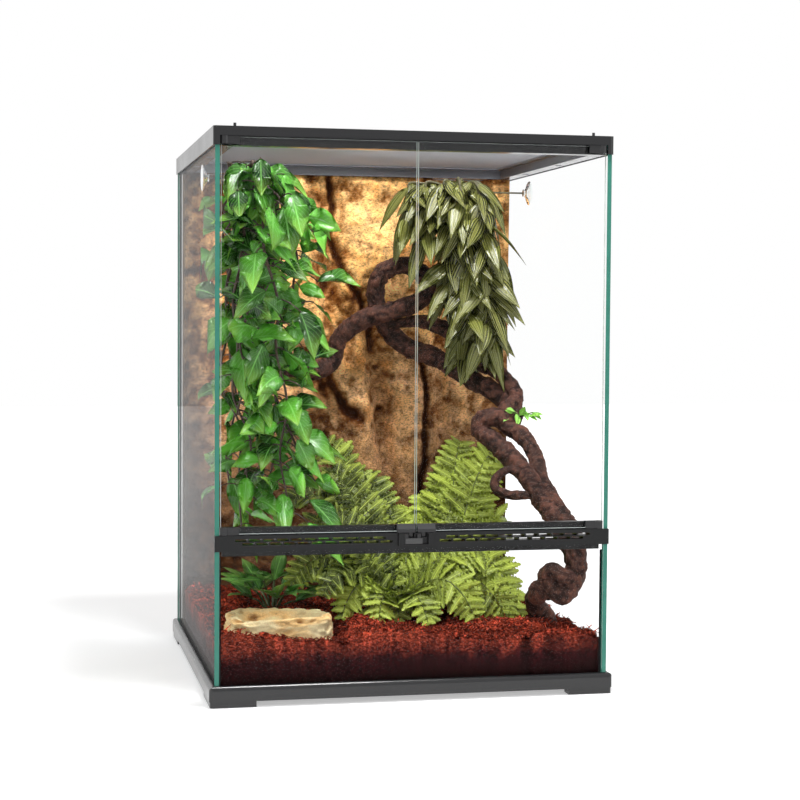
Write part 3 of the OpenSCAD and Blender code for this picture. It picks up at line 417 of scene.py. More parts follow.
def principled(tree, colour, roughness, normal=None, **sockets):
    """A Principled shader joined to the output."""
    values = {"Base Color": colour if isinstance(colour, bpy.types.NodeSocket) else (*colour, 1),
              "Roughness": roughness, **sockets}
    if normal:
        values["Normal"] = normal
    finish(tree, add(tree, "BsdfPrincipled", values))


# Reach and front edge of the inner faces that get the painted reflection
PAINTED_SHEEN_REACH = IN_Y + 2.5 * MM
PAINTED_SHEEN_FRONT = 11 * MM - IN_Y


def moulded_plastic(name, colour, roughness, grain=0.1, shine=0.45, painted_sheen=None):
    """Moulded plastic: fine grain in the relief, and faint clouds in colour and gloss. The painted sheen is a
    paler grey painted on faces inside the panes, apart from those that face up and the bar over the doors,
    as a painted reflection of the light inside."""
    m, tree = material(name)
    at = place(tree)
    clouds = noise(tree, at, 14, 3)
    fine = noise(tree, at, 1400, 2)
    tint = shaded(tree, clouds, colour, 0.88, 1.14)
    # painted reflection: faces inside the panes are painted a paler grey for the light they reflect
    if painted_sheen:
        x, y = part(tree, at, "X"), part(tree, at, "Y")
        reach = maths(tree, "MAXIMUM", maths(tree, "ABSOLUTE", x), maths(tree, "ABSOLUTE", y))
        sheen_mask = maths(tree, "MULTIPLY", maths(tree, "LESS_THAN", reach, PAINTED_SHEEN_REACH),
                      maths(tree, "LESS_THAN", facing(tree, "Z"), 0.5))
        sheen_mask = maths(tree, "MULTIPLY", sheen_mask, maths(tree, "GREATER_THAN", y, PAINTED_SHEEN_FRONT))
        tint = blend(tree, sheen_mask, tint, painted_sheen)
    gloss = ramp(tree, clouds, [(0.3, grey(roughness * 0.88)), (0.7, grey(roughness * 1.12))])
    principled(tree, tint, gloss, bump(tree, fine, grain, 0.00012), **{"Specular IOR Level": shine})
    return m


def pane_glass(name, edge_colour, thin_axis, bending):
    """Clear glass whose cut edges show their green: faces whose normal lies off the pane's thin axis."""
    s = bpy.context.scene.terrarium.glass
    m, tree = material(name)
    edge = maths(tree, "LESS_THAN", maths(tree, "ABSOLUTE", facing(tree, thin_axis)), 0.5)
    clear = add(tree, "BsdfPrincipled", {"Base Color": (*s.tint, 1), "Roughness": 0.0, "IOR": bending,
                                         "Transmission Weight": 1.0})
    unbent = add(tree, "BsdfTransparent", {"Color": (*s.tint, 1)})
    rays = add(tree, "LightPath").outputs
    soft = maths(tree, "MAXIMUM", rays["Is Shadow Ray"], rays["Is Diffuse Ray"])
    pane = mix_shader(tree, soft, clear, unbent)
    tint = shaded(tree, noise(tree, place(tree), 60, 2), edge_colour, 0.8, 1.2)
    cut = add(tree, "BsdfPrincipled", {"Base Color": tint, "Roughness": 0.2, "Specular IOR Level": 0.25})
    finish(tree, mix_shader(tree, edge, pane, cut))
    return m


def rock_face():
    """Painted foam rock: colour by height, partly its own tones and partly painted light, lighter at the top
    where the lamp falls and dark low down as painted shade; painted shade in the creases and at the left
    edge, painted highlights on the swells, and sandy specks and pits.
    """
    s = bpy.context.scene.terrarium.rock
    m, tree = material("rock_face")
    at = place(tree)
    # painted light: the ramp by height is lighter at the top, where the lamp over the lid falls, and dark low
    # down as painted shade behind the soil and plants
    height = maths(tree, "ADD", span(tree, part(tree, at, "Z"), 0.08, 0.6),
                   swing(tree, noise(tree, at, 9, 5), 0.55))
    base = ramp(tree, height, [(0.18, s.low_colour), (0.46, s.middle_colour), (0.7, s.high_colour),
                               (0.98, s.top_colour)])
    base = tinted(tree, base, noise(tree, at, 26, 6, 0.68),
                  [(0.36, (0.66, 0.5, 0.36)), (0.5, (1.0, 0.98, 0.93)), (0.64, (1.25, 1.22, 1.3))])
    speck = noise(tree, at, 300, 4, 0.75, (1, 1, 1.7))
    base = tinted(tree, base, speck, [(0.36, grey(0.22)), (0.48, grey(0.88)), (0.66, grey(1.5))], 0.85)
    # painted shade: the rock's left edge, seen through the side pane, is darker and greyer
    base = tinted(tree, base, span(tree, part(tree, at, "X"), -IN_X, -0.8 * IN_X),
                  [(0.0, (0.2, 0.22, 0.27)), (0.9, (0.55, 0.52, 0.55)), (1.0, grey(1))])
    # painted shade in the creases and grooves and painted highlights on the swells, from the mesh's shade
    # values
    base = tinted(tree, base, own_shade(tree), [(0.0, (0.08, 0.04, 0.02)), (0.3, (0.42, 0.3, 0.2)),
                                                (0.62, grey(1)), (0.85, (1.32, 1.27, 1.14)),
                                                (1.0, (1.5, 1.44, 1.28))])
    grains = bump(tree, speck, 0.5, 0.0009)
    pits = bump(tree, noise(tree, at, 130, 4, 0.6), 0.45, 0.002, grains)
    principled(tree, base, 0.9, pits, **{"Specular IOR Level": 0.12})
    return m


def soil_stuff(name, light):
    """Bark and coconut fibre: red-brown on top and darker down the sides, in fine mixed specks."""
    s = bpy.context.scene.terrarium.soil
    m, tree = material(name)
    at = place(tree)
    height = maths(tree, "ADD", span(tree, part(tree, at, "Z"), 0.034, 0.08),
                   swing(tree, noise(tree, at, 60, 4, 0.6), 0.7))
    between = tuple(0.5 * (a + b) for a, b in zip(s.deep_colour, s.top_colour))
    base = ramp(tree, height, [(0.25, s.deep_colour), (0.6, between), (0.9, s.top_colour)])
    specks = noise(tree, at, 330, 5, 0.75, (1, 1, 1.6))
    lit = tuple(light * c for c in (2.6, 2.3, 2.2))
    base = tinted(tree, base, specks, [(0.34, grey(0.08)), (0.5, grey(0.8)), (0.62, lit)])
    base = tinted(tree, base, own_shade(tree), [(0, grey(0.3)), (0.5, grey(1.0)), (1, (2.2, 1.9, 1.8))])
    principled(tree, base, 0.85, bump(tree, specks, 0.8, 0.0015), **{"Specular IOR Level": 0.08})
    return m


def dish_stone():
    """Cast stone: sandy tan with brown stains, darker and browner where the ledges cut deep, and fine grain.
    """
    s = bpy.context.scene.terrarium.dish
    m, tree = material("dish_stone")
    at = place(tree)
    stain = noise(tree, at, 26, 6, 0.6, (1, 1, 2.2))
    base = ramp(tree, stain, [(0.33, s.stain), (0.43, s.colour), (0.58, s.pale)])
    speck = noise(tree, at, 700, 2)
    base = tinted(tree, base, speck, [(0.35, grey(0.75)), (0.65, grey(1.12))], 0.5)
    # darker and browner where the ledges cut deep, from the mesh's shade values
    base = tinted(tree, base, own_shade(tree), [(0, (0.5, 0.36, 0.22)), (0.5, grey(1)), (1, grey(1.08))])
    principled(tree, base, 0.75, bump(tree, speck, 0.3, 0.0005))
    return m


def bark():
    """Vine bark: dark maroon with paler worn patches, painted highlights on the ridges, painted shade between
    them, and rough grain.
    """
    s = bpy.context.scene.terrarium.vine
    m, tree = material("vine_bark")
    at = place(tree)
    base = blend(tree, noise(tree, at, 28, 5, 0.6), s.colour, s.worn_colour)
    fine = noise(tree, at, 900, 3, 0.65)
    base = tinted(tree, base, fine, [(0.35, grey(0.38)), (0.5, grey(0.9)), (0.65, (1.9, 1.7, 1.55))], 0.85)
    # painted light and shade: lighter on the winding ridges, darker between them, from the mesh's shade
    # values
    base = tinted(tree, base, own_shade(tree), [(0, grey(0.25)), (0.5, grey(1.0)), (1, (2.0, 1.75, 1.6))])
    principled(tree, base, 0.7, bump(tree, fine, 0.8, 0.0008), **{"Specular IOR Level": 0.2})
    return m


def leaf_green(name, dark, bright, tip, roughness, veins=0.0, stripes=0.0, vein_colour=None, shine=0.3):
    """Moulded leaf: dark and bright green clouds that differ from leaf to leaf, a pale midrib, slanted side
    veins or stripes along the blade, and a tint at the tip."""
    m, tree = material(name)
    uv = add(tree, "UVMap", uv_map="UVMap").outputs["UV"]
    aside, along = from_middle(tree, part(tree, uv, "X")), part(tree, uv, "Y")
    at = place(tree)
    mixed = maths(tree, "ADD", maths(tree, "MULTIPLY", own_shade(tree), 0.8),
                  maths(tree, "MULTIPLY", noise(tree, at, 45, 3), 0.4))
    base = ramp(tree, mixed, [(0.15, dark), (0.5, tuple(0.62 * a + 0.38 * b for a, b in zip(dark, bright))),
                              (0.92, bright)])
    base = blend(tree, ramp(tree, along, [(0.55, grey(0)), (1.0, grey(0.75))]), base, tip)
    if veins:
        count = maths(tree, "SUBTRACT", maths(tree, "MULTIPLY", along, veins),
                      maths(tree, "MULTIPLY", aside, veins * 0.9))
        stops = [(0.0, grey(0.5)), (0.12, grey(0.0))]
    else:
        count = maths(tree, "MULTIPLY", aside, stripes)
        stops = [(0.1, grey(0.9)), (0.3, grey(0.0))]
    side = ramp(tree, from_middle(tree, maths(tree, "FRACT", count)), stops)
    rib = ramp(tree, aside, [(0.0, grey(0.85)), (0.045, grey(0.0))])
    mark = maths(tree, "MAXIMUM", side, rib)
    pale = vein_colour or tuple(min(1, c * 1.8 + 0.05) for c in bright)
    base = blend(tree, mark, base, pale)
    normal = bump(tree, mark, 0.35, 0.0006, bump(tree, noise(tree, at, 160, 3), 0.25, 0.0006))
    principled(tree, base, roughness, normal, **{"Specular IOR Level": shine})
    return m


def stem_skin(name, colour):
    """Moulded stem: matt with faint streaks."""
    m, tree = material(name)
    streak = noise(tree, place(tree), 220, 3, 0.5, (1, 1, 0.3))
    tint = shaded(tree, streak, colour, 0.6, 1.3)
    principled(tree, tint, 0.55, bump(tree, streak, 0.4, 0.0004))
    return m


def soft_vinyl():
    """Clear soft vinyl of the suction cups."""
    m, tree = material("soft_vinyl")
    gloss = ramp(tree, noise(tree, place(tree), 90, 3), [(0.3, grey(0.05)), (0.7, grey(0.12))])
    clear = add(tree, "BsdfPrincipled", {"Base Color": (0.95, 0.98, 0.97, 1), "Roughness": gloss, "IOR": 1.08,
                                         "Transmission Weight": 1.0})
    unbent = add(tree, "BsdfTransparent", {"Color": (0.8, 0.86, 0.84, 1)})
    finish(tree, mix_shader(tree, add(tree, "LightPath").outputs["Is Shadow Ray"], clear, unbent))
    return m


def satin_plate():
    """Plain satin metal with fine brushing across."""
    m, tree = material("satin_plate")
    lines = noise(tree, place(tree), 900, 2, 0.5, (0.05, 1, 1))
    tone = blend(tree, lines, grey(0.06), grey(0.1))
    principled(tree, tone, 0.4, bump(tree, lines, 0.2, 0.0001), Metallic=1.0)
    return m


def greens(plant, roughness, **marks):
    """The leaf and stem materials of a plant, in its own colours."""
    s = bpy.context.scene.terrarium.plants
    *leaf, stem = (getattr(s, f"{plant}_{use}") for use in GREEN_USES)
    return [leaf_green(f"{plant}_leaf", *leaf, roughness, **marks), stem_skin(f"{plant}_stem", stem)]


def dress(beginnings, m):
    """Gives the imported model's own pieces whose names begin so a material in place of their plain one."""
    for name, obj in frame["nodes"].items():
        if name.startswith(beginnings):
            mesh = obj.data
            if not mesh.materials:
                mesh.materials.append(m)
            for k in range(len(mesh.materials)):
                mesh.materials[k] = m


# ---- settings


def colour_prop(name, description, default):
    """A colour setting."""
    return FloatVectorProperty(name=name, description=description, default=default, subtype="COLOR", min=0,
                               max=1)


def number_prop(name, description, default, kind="NONE", low=0.0, high=1000.0):
    """A number setting."""
    return FloatProperty(name=name, description=description, default=default, unit=kind, min=low, max=high)


class StageSettings(bpy.types.PropertyGroup):
    """Floor and light."""

    floor_tone: number_prop("Floor tone", "Brightness of the floor", 0.9, high=1.0)
    sky: number_prop("Surround light", "Strength of the even light all round", 0.36)
    key: number_prop("Key light", "Power of the large lamp at the front left", 34, "POWER")
    fill: number_prop("Fill light", "Power of the lamp at the front right", 9, "POWER")
    top: number_prop("Top light", "Power of the lamp over the screen lid", 19, "POWER")


class GlassSettings(bpy.types.PropertyGroup):
    """Panes."""

    tint: colour_prop("Tint", "Colour of the clear panes", (0.997, 1.0, 0.999))
    edge: colour_prop("Wall edges", "Colour of the cut edges of the wall panes", (0.045, 0.22, 0.165))
    door_edge: colour_prop("Door edges", "Colour of the polished edges of the doors", (0.8, 0.92, 0.88))
    sealant: colour_prop("Sealant", "Colour of the sealant", (0.012, 0.012, 0.013))
    bending: number_prop("Refractive index", "Refractive index of the panes", 1.07, low=1.0, high=1.6)
    side_bending: number_prop("Side refractive index", "Refractive index of the two side panes", 1.012,
                              low=1.0, high=1.6)


class PlasticSettings(bpy.types.PropertyGroup):
    """Mouldings and the wire screen."""

    frame: colour_prop("Base frame", "Colour of the base frame", (0.014, 0.014, 0.015))
    top: colour_prop("Top frame", "Colour of the top frame and the lid", (0.008, 0.008, 0.009))
    # painted reflection: a paler grey painted on the black frame's and lid's inner faces for the light they
    # reflect
    painted_sheen: colour_prop("Painted sheen", "Colour of the inner faces of the top frame and lid", (0.21, 0.21, 0.235))
    strip: colour_prop("Vent strip", "Colour of the vent strip", (0.005, 0.0052, 0.0055))
    trim: colour_prop("Trim", "Colour of the lock, latches, pulls and hinges", (0.01, 0.01, 0.011))
    wire: colour_prop("Wire", "Colour of the screen's coated wires", (0.36, 0.36, 0.39))
    pitch: number_prop("Pitch", "Distance between the screen's wires", 2.0 * MM, "LENGTH", 0.5 * MM)
    wire_radius: number_prop("Wire radius", "Radius of the screen's wires", 0.22 * MM, "LENGTH")


class RockSettings(bpy.types.PropertyGroup):
    """Background."""

    relief: number_prop("Relief", "Height of the rock's swells", 13 * MM, "LENGTH")
    cells: IntProperty(name="Cells", description="Points of the rock from side to side", default=240, min=40)
    # The colours by height hold painted light: lighter at the top under the lamp, dark low down as painted
    # shade.
    top_colour: colour_prop("Top", "Colour under the lid", (0.88, 0.53, 0.22))
    high_colour: colour_prop("High", "Colour of the upper rock", (0.9, 0.54, 0.21))
    middle_colour: colour_prop("Middle", "Colour of the middle of the rock", (0.72, 0.43, 0.215))
    low_colour: colour_prop("Low", "Colour behind the soil", (0.2, 0.105, 0.05))


class SoilSettings(bpy.types.PropertyGroup):
    """Substrate."""

    fibres: IntProperty(name="Fibres", description="Loose fibres on the soil", default=6800, min=0)
    chips: IntProperty(name="Chips", description="Loose bark chips on the soil", default=7000, min=0)
    top_colour: colour_prop("Top", "Colour of the loose top", (0.25, 0.043, 0.022))
    deep_colour: colour_prop("Deep", "Colour of the damp soil below", (0.022, 0.004, 0.0045))


class DishSettings(bpy.types.PropertyGroup):
    """Water dish."""

    colour: colour_prop("Stone", "Colour of the stone", (0.95, 0.62, 0.26))
    pale: colour_prop("Pale stone", "Colour of the worn stone", (1.0, 0.82, 0.47))
    stain: colour_prop("Stain", "Colour of the stains", (0.42, 0.22, 0.08))


class VineSettings(bpy.types.PropertyGroup):
    """Twisted vine."""

    colour: colour_prop("Bark", "Colour of the bark", (0.046, 0.021, 0.017))
    worn_colour: colour_prop("Worn bark", "Colour of the worn bark", (0.095, 0.046, 0.034))
    bark: number_prop("Bark relief", "Share of the radius that the bark's ridges take", 0.17, high=1.0)


class PlantSettings(bpy.types.PropertyGroup):
    """Plastic plants."""

    broad_leaf: number_prop("Broad leaf", "Length of a broad leaf", 47 * MM, "LENGTH")
    long_leaf: number_prop("Striped leaf", "Length of a striped leaf", 64 * MM, "LENGTH")
    pinna: number_prop("Fern leaflet", "Length of the ferns' longest leaflets", 36 * MM, "LENGTH")
    veins: colour_prop("Veins", "Colour of the veins of the broad leaves", (0.26, 0.66, 0.14))
    stripes: colour_prop("Stripes", "Colour of the lines on the striped leaves", (0.28, 0.28, 0.07))


GREENS = {
    # dark, bright, tip and stem colour of each plant
    "broad": ((0.004, 0.03, 0.004), (0.14, 0.5, 0.045), (0.3, 0.55, 0.06), (0.06, 0.035, 0.02)),
    "striped": ((0.016, 0.019, 0.005), (0.12, 0.135, 0.024), (0.06, 0.065, 0.018), (0.09, 0.08, 0.03)),
    "fern": ((0.022, 0.036, 0.007), (0.44, 0.54, 0.07), (0.44, 0.54, 0.07), (0.16, 0.2, 0.04)),
    "ground": ((0.035, 0.14, 0.02), (0.2, 0.5, 0.08), (0.3, 0.5, 0.1), (0.07, 0.1, 0.03)),
    "sprig": ((0.12, 0.36, 0.04), (0.3, 0.68, 0.1), (0.4, 0.72, 0.14), (0.14, 0.22, 0.05)),
}
GREEN_USES = ("dark", "bright", "tip", "stem")
for plant, colours in GREENS.items():
    for use, colour in zip(GREEN_USES, colours):
        PlantSettings.__annotations__[f"{plant}_{use}"] = colour_prop(
            f"{plant.title()}, {use}", f"Colour of the {plant} plant: {use}", colour)


class TerrariumSettings(bpy.types.PropertyGroup):
    """All settings of the terrarium."""

    stage: PointerProperty(type=StageSettings)
    glass: PointerProperty(type=GlassSettings)
    plastic: PointerProperty(type=PlasticSettings)
    rock: PointerProperty(type=RockSettings)
    soil: PointerProperty(type=SoilSettings)
    dish: PointerProperty(type=DishSettings)
    vine: PointerProperty(type=VineSettings)
    plants: PointerProperty(type=PlantSettings)


# ---- stage

CAMERA_AT = (-0.4302, -2.1396, 0.4219)
CAMERA_TURN = (-12.104, -2.735, 0.37)  # yaw, pitch and roll in degrees
SENSOR = 36
FOCAL = SENSOR * 1817 / 800
FLOOR_REACH, FLOOR_CELLS, FLOOR_DROP = 6.0, 12, 0.5 * MM
LAMPS = [
    # setting that holds its power, place, target and side in metres
    ("key", (-1.4, -2.6, 2.3), (0, 0, 0.3), 1.0), ("fill", (2.2, -2.0, 1.2), (0, 0, 0.3), 1.4),
    ("top", (0.06, -0.3, 1.28), (0.02, 0.16, 0.36), 0.3),
]


def camera_matrix():
    """World matrix of the camera: its right, up and backward directions after yaw, pitch and roll."""
    y, p, r = np.radians(CAMERA_TURN)
    yaw = np.array([[np.cos(y), np.sin(y), 0], [-np.sin(y), np.cos(y), 0], [0, 0, 1]])
    pitch = np.array([[1, 0, 0], [0, np.cos(p), np.sin(p)], [0, -np.sin(p), np.cos(p)]])
    roll = np.array([[np.cos(r), 0, np.sin(r)], [0, 1, 0], [-np.sin(r), 0, np.cos(r)]])
    right, ahead, up = roll @ pitch @ yaw
    return placed(CAMERA_AT, right, up, -ahead)


def placed(at, x, y, z):
    """World matrix of an object at a place with its axes along three directions."""
    return Matrix.Translation(at) @ Matrix(np.stack([x, y, z], -1).tolist()).to_4x4()


def lamp(name, at, target, size, power):
    """Square area lamp at a place, turned to a target."""
    light = bpy.data.lights.new(name, "AREA")
    light.shape, light.size, light.energy = "SQUARE", size, power
    obj = bpy.data.objects.new(name, light)
    bpy.context.collection.objects.link(obj)
    z = unit(np.array(at) - np.array(target))
    x = unit(np.cross(UP + 1e-4, z))
    obj.matrix_world = placed(at, x, np.cross(z, x), z)


def shown_rays(tree):
    """1 on the rays that show the background itself: from the camera, through glass and off gloss."""
    rays = add(tree, "LightPath").outputs
    seen = maths(tree, "MAXIMUM", rays["Is Camera Ray"], rays["Is Transmission Ray"])
    return maths(tree, "MAXIMUM", seen, rays["Is Glossy Ray"])


class TERRARIUM_OT_stage(bpy.types.Operator):
    """Makes the camera, the floor and the light"""

    bl_idname = "terrarium.stage"
    bl_label = "Stage"

    def execute(self, context):
        s = context.scene.terrarium.stage
        data = bpy.data.cameras.new("camera")
        data.sensor_width, data.lens, data.clip_end = SENSOR, FOCAL, 50
        camera = bpy.data.objects.new("camera", data)
        context.collection.objects.link(camera)
        camera.matrix_world = camera_matrix()
        context.scene.camera = camera
        context.scene.view_settings.view_transform = "Standard"

        world = bpy.data.worlds.new("studio")
        context.scene.world = world
        world.use_nodes = True
        tree = world.node_tree
        tree.nodes.clear()
        shown = add(tree, "Background", {"Color": (1, 1, 1, 1), "Strength": 1.0})
        light = add(tree, "Background", {"Color": (1, 1, 1, 1), "Strength": s.sky})
        finish(tree, mix_shader(tree, shown_rays(tree), light, shown), "OutputWorld")

        m, tree = material("floor")
        tone = shaded(tree, noise(tree, place(tree), 3, 2), grey(s.floor_tone), 0.985, 1.0)
        far = add(tree, "VectorMath", {0: place(tree)}, operation="LENGTH").outputs["Value"]
        far = span(tree, far, 0.6, 2.2, **{"To Min": 0.45, "To Max": 1.0})
        glow = maths(tree, "MULTIPLY", shown_rays(tree), far)
        principled(tree, tone, 0.85, **{"Emission Color": (1, 1, 1, 1), "Emission Strength": glow})
        line = np.linspace(-FLOOR_REACH, FLOOR_REACH, FLOOR_CELLS + 1)
        x, y = np.meshgrid(line, line, indexing="ij")
        points = np.stack([x, y, np.full_like(x, -FLOOR_DROP)], -1).reshape(-1, 3)
        mesh = bpy.data.meshes.new("floor")
        mesh.from_pydata(points.tolist(), [], grid(len(line), len(line))[:, ::-1].tolist())
        mesh.materials.append(m)
        floor = bpy.data.objects.new("floor", mesh)
        context.collection.objects.link(floor)

        for name, at, target, size in LAMPS:
            lamp(name, at, target, size, getattr(s, name))
        return {"FINISHED"}


# ---- glass and mouldings


class TERRARIUM_OT_glass(bpy.types.Operator):
    """Dresses the panes and the sealant"""

    bl_idname = "terrarium.glass"
    bl_label = "Glass"

    def execute(self, context):
        s = context.scene.terrarium.glass
        dress("side_glass", pane_glass("side_pane", s.edge, "X", s.side_bending))
        dress(("back_glass", "window_glass"), pane_glass("wall_pane", s.edge, "Y", s.bending))
        dress("door_glass", pane_glass("door_pane", s.door_edge, "Y", s.bending))
        dress("floor_glass", pane_glass("floor_pane", s.edge, "Z", s.bending))
        dress("silicone_beads", moulded_plastic("sealant", s.sealant, 0.35))
        return {"FINISHED"}


class TERRARIUM_OT_mouldings(bpy.types.Operator):
    """Dresses the frames, the vent strip, the lock, the latches and the hinges"""

    bl_idname = "terrarium.mouldings"
    bl_label = "Mouldings"

    def execute(self, context):
        s = context.scene.terrarium.plastic
        dress("base_frame", moulded_plastic("base_plastic", s.frame, 0.18, 0.05))
        dress(("top_frame", "lid_flange", "lid_frame", "port_block"),
              # the top frame and lid take the painted reflection on their inner faces
              moulded_plastic("top_plastic", s.top, 0.2, 0.06, painted_sheen=s.painted_sheen))
        dress(("vent_strip", "lock_housing"), moulded_plastic("strip_plastic", s.strip, 0.3, shine=0.28))
        dress(("latch", "port_cover", "hinge", "door_pull", "lock_bolt"),
              moulded_plastic("trim_plastic", s.trim, 0.3))
        dress("lock_plate", satin_plate())
        return {"FINISHED"}


class TERRARIUM_OT_screen(bpy.types.Operator):
    """Makes the wire screen of the lid: two layers of straight wires, one along each side"""

    bl_idname = "terrarium.screen"
    bl_label = "Screen"

    def execute(self, context):
        s = context.scene.terrarium.plastic
        low, high = corners("lid_screen")
        shape = Shape()
        for axis in (0, 1):
            ends = np.arange(low[axis] + s.pitch / 2, high[axis], s.pitch)
            paths = np.zeros((len(ends), 2, 3))
            paths[..., axis] = ends[:, None]
            paths[:, 0, 1 - axis], paths[:, 1, 1 - axis] = low[1 - axis], high[1 - axis]
            paths[..., 2] = (low[2] + high[2]) / 2 + (axis - 0.5) * s.wire_radius * 1.7
            tubes(shape, paths, s.wire_radius, 4, 0.5)
        coating = moulded_plastic("wire_coating", s.wire, 0.45)
        shape.piece("wire_screen", [coating], "lid_screen", "lid")
        return {"FINISHED"}


# ---- rock, soil and dish

BOULDERS = [
    # middle and half sizes, in shares of the half width and of the height, and reach in metres
    ((0.16, 0.86), (0.29, 0.22), 0.012), ((-0.42, 0.84), (0.32, 0.28), 0.010),
    ((0.22, 0.43), (0.3, 0.21), 0.013), ((-0.02, 0.6), (0.17, 0.12), 0.009),
    ((0.68, 0.72), (0.34, 0.3), 0.009), ((-0.5, 0.4), (0.36, 0.26), 0.010),
    ((0.66, 0.3), (0.3, 0.26), 0.008), ((-0.12, 0.22), (0.26, 0.17), 0.009),
]
GROOVES = [
    # points of each narrow groove in shares of the half width and of the height
    [(-0.14, 1.02), (-0.12, 0.93), (-0.11, 0.86), (-0.04, 0.78), (0.06, 0.73), (0.12, 0.68), (0.14, 0.62)],
    [(-0.16, 0.6), (-0.12, 0.54), (-0.03, 0.48), (0.06, 0.46)],
    [(0.44, 0.62), (0.5, 0.5), (0.46, 0.3), (0.38, 0.22)],
    [(-0.1, 0.4), (-0.02, 0.3), (0.04, 0.18)],
]
GROOVE_WIDTH, ROCK_ASPECT = 0.02, 1.37
CREASES = [
    # start and end in shares of the half width and of the height, width, and depth in units of the relief
    ((-0.24, 1.02), (-0.16, 0.78), 0.05, 1.5), ((-0.16, 0.78), (-0.02, 0.6), 0.05, 1.2),
    ((0.12, 0.7), (0.2, 0.45), 0.07, 1.6), ((0.2, 0.45), (0.3, 0.1), 0.06, 1.3),
    ((-0.3, 0.6), (-0.02, 0.42), 0.035, 0.9), ((-0.34, 0.5), (-0.12, 0.36), 0.03, 0.7),
    ((-0.62, 0.95), (-0.55, 0.3), 0.05, 1.1), ((0.55, 1), (0.62, 0.2), 0.06, 1.2),
    ((-0.1, 0.36), (0.02, 0.08), 0.04, 0.8),
]
ROCK_MEAN, ROCK_FOOT, ROCK_LEAST = 0.034, 0.058, 0.008  # thickness: mean, at the foot and least
PORT_AT = 0.15  # distance of the cable ports from the middle


def line_distance(p, a, b, stretch=(1, 1)):
    """Distance of points in a plane from the stretch of line between two, along stretched axes."""
    t = np.clip(((p - a) @ (b - a)) / ((b - a) @ (b - a)), 0, 1)
    return np.linalg.norm((p - a - t[..., None] * (b - a)) * stretch, axis=-1)


def waves(angle):
    """Sine of an angle in degrees."""
    return np.sin(np.radians(angle))


def rock_depth(u, v, relief):
    """Thickness of the rock at u from -1 to 1 across and v from 0 to 1 up, and its creases: a mean with
    swells of slow sines and a foot behind the soil, less creases that fall off as a bell curve."""
    swell = (0.9 * waves(150 * (u + 0.1) + 90) * waves(60 + 150 * v) + 0.45 * waves(300 * u + 140 * v)
             + 0.3 * waves(520 * v - 210 * u + 90) + 0.2 * waves(900 * u) * waves(760 * v + 90))
    p = np.stack([u, v], -1)
    cuts = np.zeros_like(u)
    for a, b, width, depth in CREASES:
        q = line_distance(p, np.array(a), np.array(b)) / width
        cuts += depth * np.exp(-q * q)
    calm = ease((1 - v) / 0.06) * ease((1 - np.abs(u)) / 0.05)
    body = ROCK_MEAN + relief * (swell - cuts) * (0.25 + 0.75 * calm)
    foot = ease((0.15 - v) / 0.03)
    return ROCK_FOOT * foot + np.clip(body, ROCK_LEAST, ROCK_FOOT - 0.004) * (1 - foot), cuts


class TERRARIUM_OT_rock(bpy.types.Operator):
    """Makes the rock background"""

    bl_idname = "terrarium.rock"
    bl_label = "Rock background"

    @staticmethod
    def forms(u, v, p):
        """Rounded boulders, each a half ellipsoid whose outline is bent by noise, joined by the greater
        height, and grooves that fall off as a bell curve from their lines."""
        bent_u, bent_v = u + 0.06 * rough(p, 0.09, 41, 3), v + 0.04 * rough(p, 0.09, 43, 3)
        boulder = np.zeros_like(u)
        for middle, half, height in BOULDERS:
            q = ((bent_u - middle[0]) / half[0]) ** 2 + ((bent_v - middle[1]) / half[1]) ** 2
            boulder = np.maximum(boulder, height * np.sqrt(np.clip(1 - q, 0, 1)))
        groove = np.zeros_like(u)
        at = np.stack([u + 0.02 * rough(p, 0.04, 47, 3), v], -1)
        for line in GROOVES:
            for a, b in zip(np.array(line[:-1]), np.array(line[1:])):
                q = line_distance(at, a, b, (1, ROCK_ASPECT)) / GROOVE_WIDTH
                groove = np.maximum(groove, np.exp(-q * q))
        return boulder, groove

    def execute(self, context):
        s = context.scene.terrarium.rock
        low, high = corners("rock_background")
        cols, rows = s.cells, int(s.cells * 1.36)
        u, v = np.meshgrid(np.linspace(-1, 1, cols), np.linspace(0, 1, rows), indexing="xy")
        depth, cuts = rock_depth(u, v, s.relief)
        x, z = u * high[0], low[2] + v * (high[2] - low[2])
        p = np.stack([x, depth, z], -1)
        shelves = rough(p * [1, 1, 1.5], 0.05, 11, 4)
        fine = rough(p, 0.011, 5, 4, 0.62)
        boulder, groove = self.forms(u, v, p)
        rim = ease((1 - np.abs(u)) / 0.03) * ease((1 - v) / 0.015) * ease(v / 0.02)
        detail = (0.0025 * shelves + 1.25 * boulder - 0.007 - 0.01 * groove + 0.0018 * fine) * rim
        port = ease((v - 0.84) / 0.06) * ease((0.2 - np.abs(np.abs(u) - PORT_AT / IN_X)) / 0.06)
        depth = np.maximum((depth + detail) * (1 - port) + 0.0045 * port, 0.0035)
        face = np.stack([x, high[1] - depth, z], -1)
        # painted light and shade for the rock's colour: lighter on the boulders, darker in the creases and
        # grooves, with some grain
        painted_light_and_shade = np.clip(0.4 - 0.12 * cuts + 34 * boulder + 0.16 * shelves + 0.4 * fine - 0.95 * groove, 0, 1)

        def to_back(edge):
            """The edge laid on the back pane."""
            edge[:, 1] = high[1]
            return edge

        shape = Shape()
        sealed_sheet(shape, face, to_back, [0, high[1], (low[2] + high[2]) / 2], painted_light_and_shade, 0.5)
        shape.piece("rock_wall", [rock_face()], "rock_background")
        return {"FINISHED"}


SOIL_HEIGHT, SOIL_RELIEF, BED_HEIGHT = 0.052, 0.004, 0.038
SOIL_COLS, SOIL_ROWS, SOIL_LUMPS, SOLE_GAP = 280, 250, 0.0042, 0.2 * MM
FRONT_SHARE = 0.22  # share of the loose bits that lie along the front pane
DISH_KEEP = 0.86  # how near the dish they may lie, where 1 is its outline


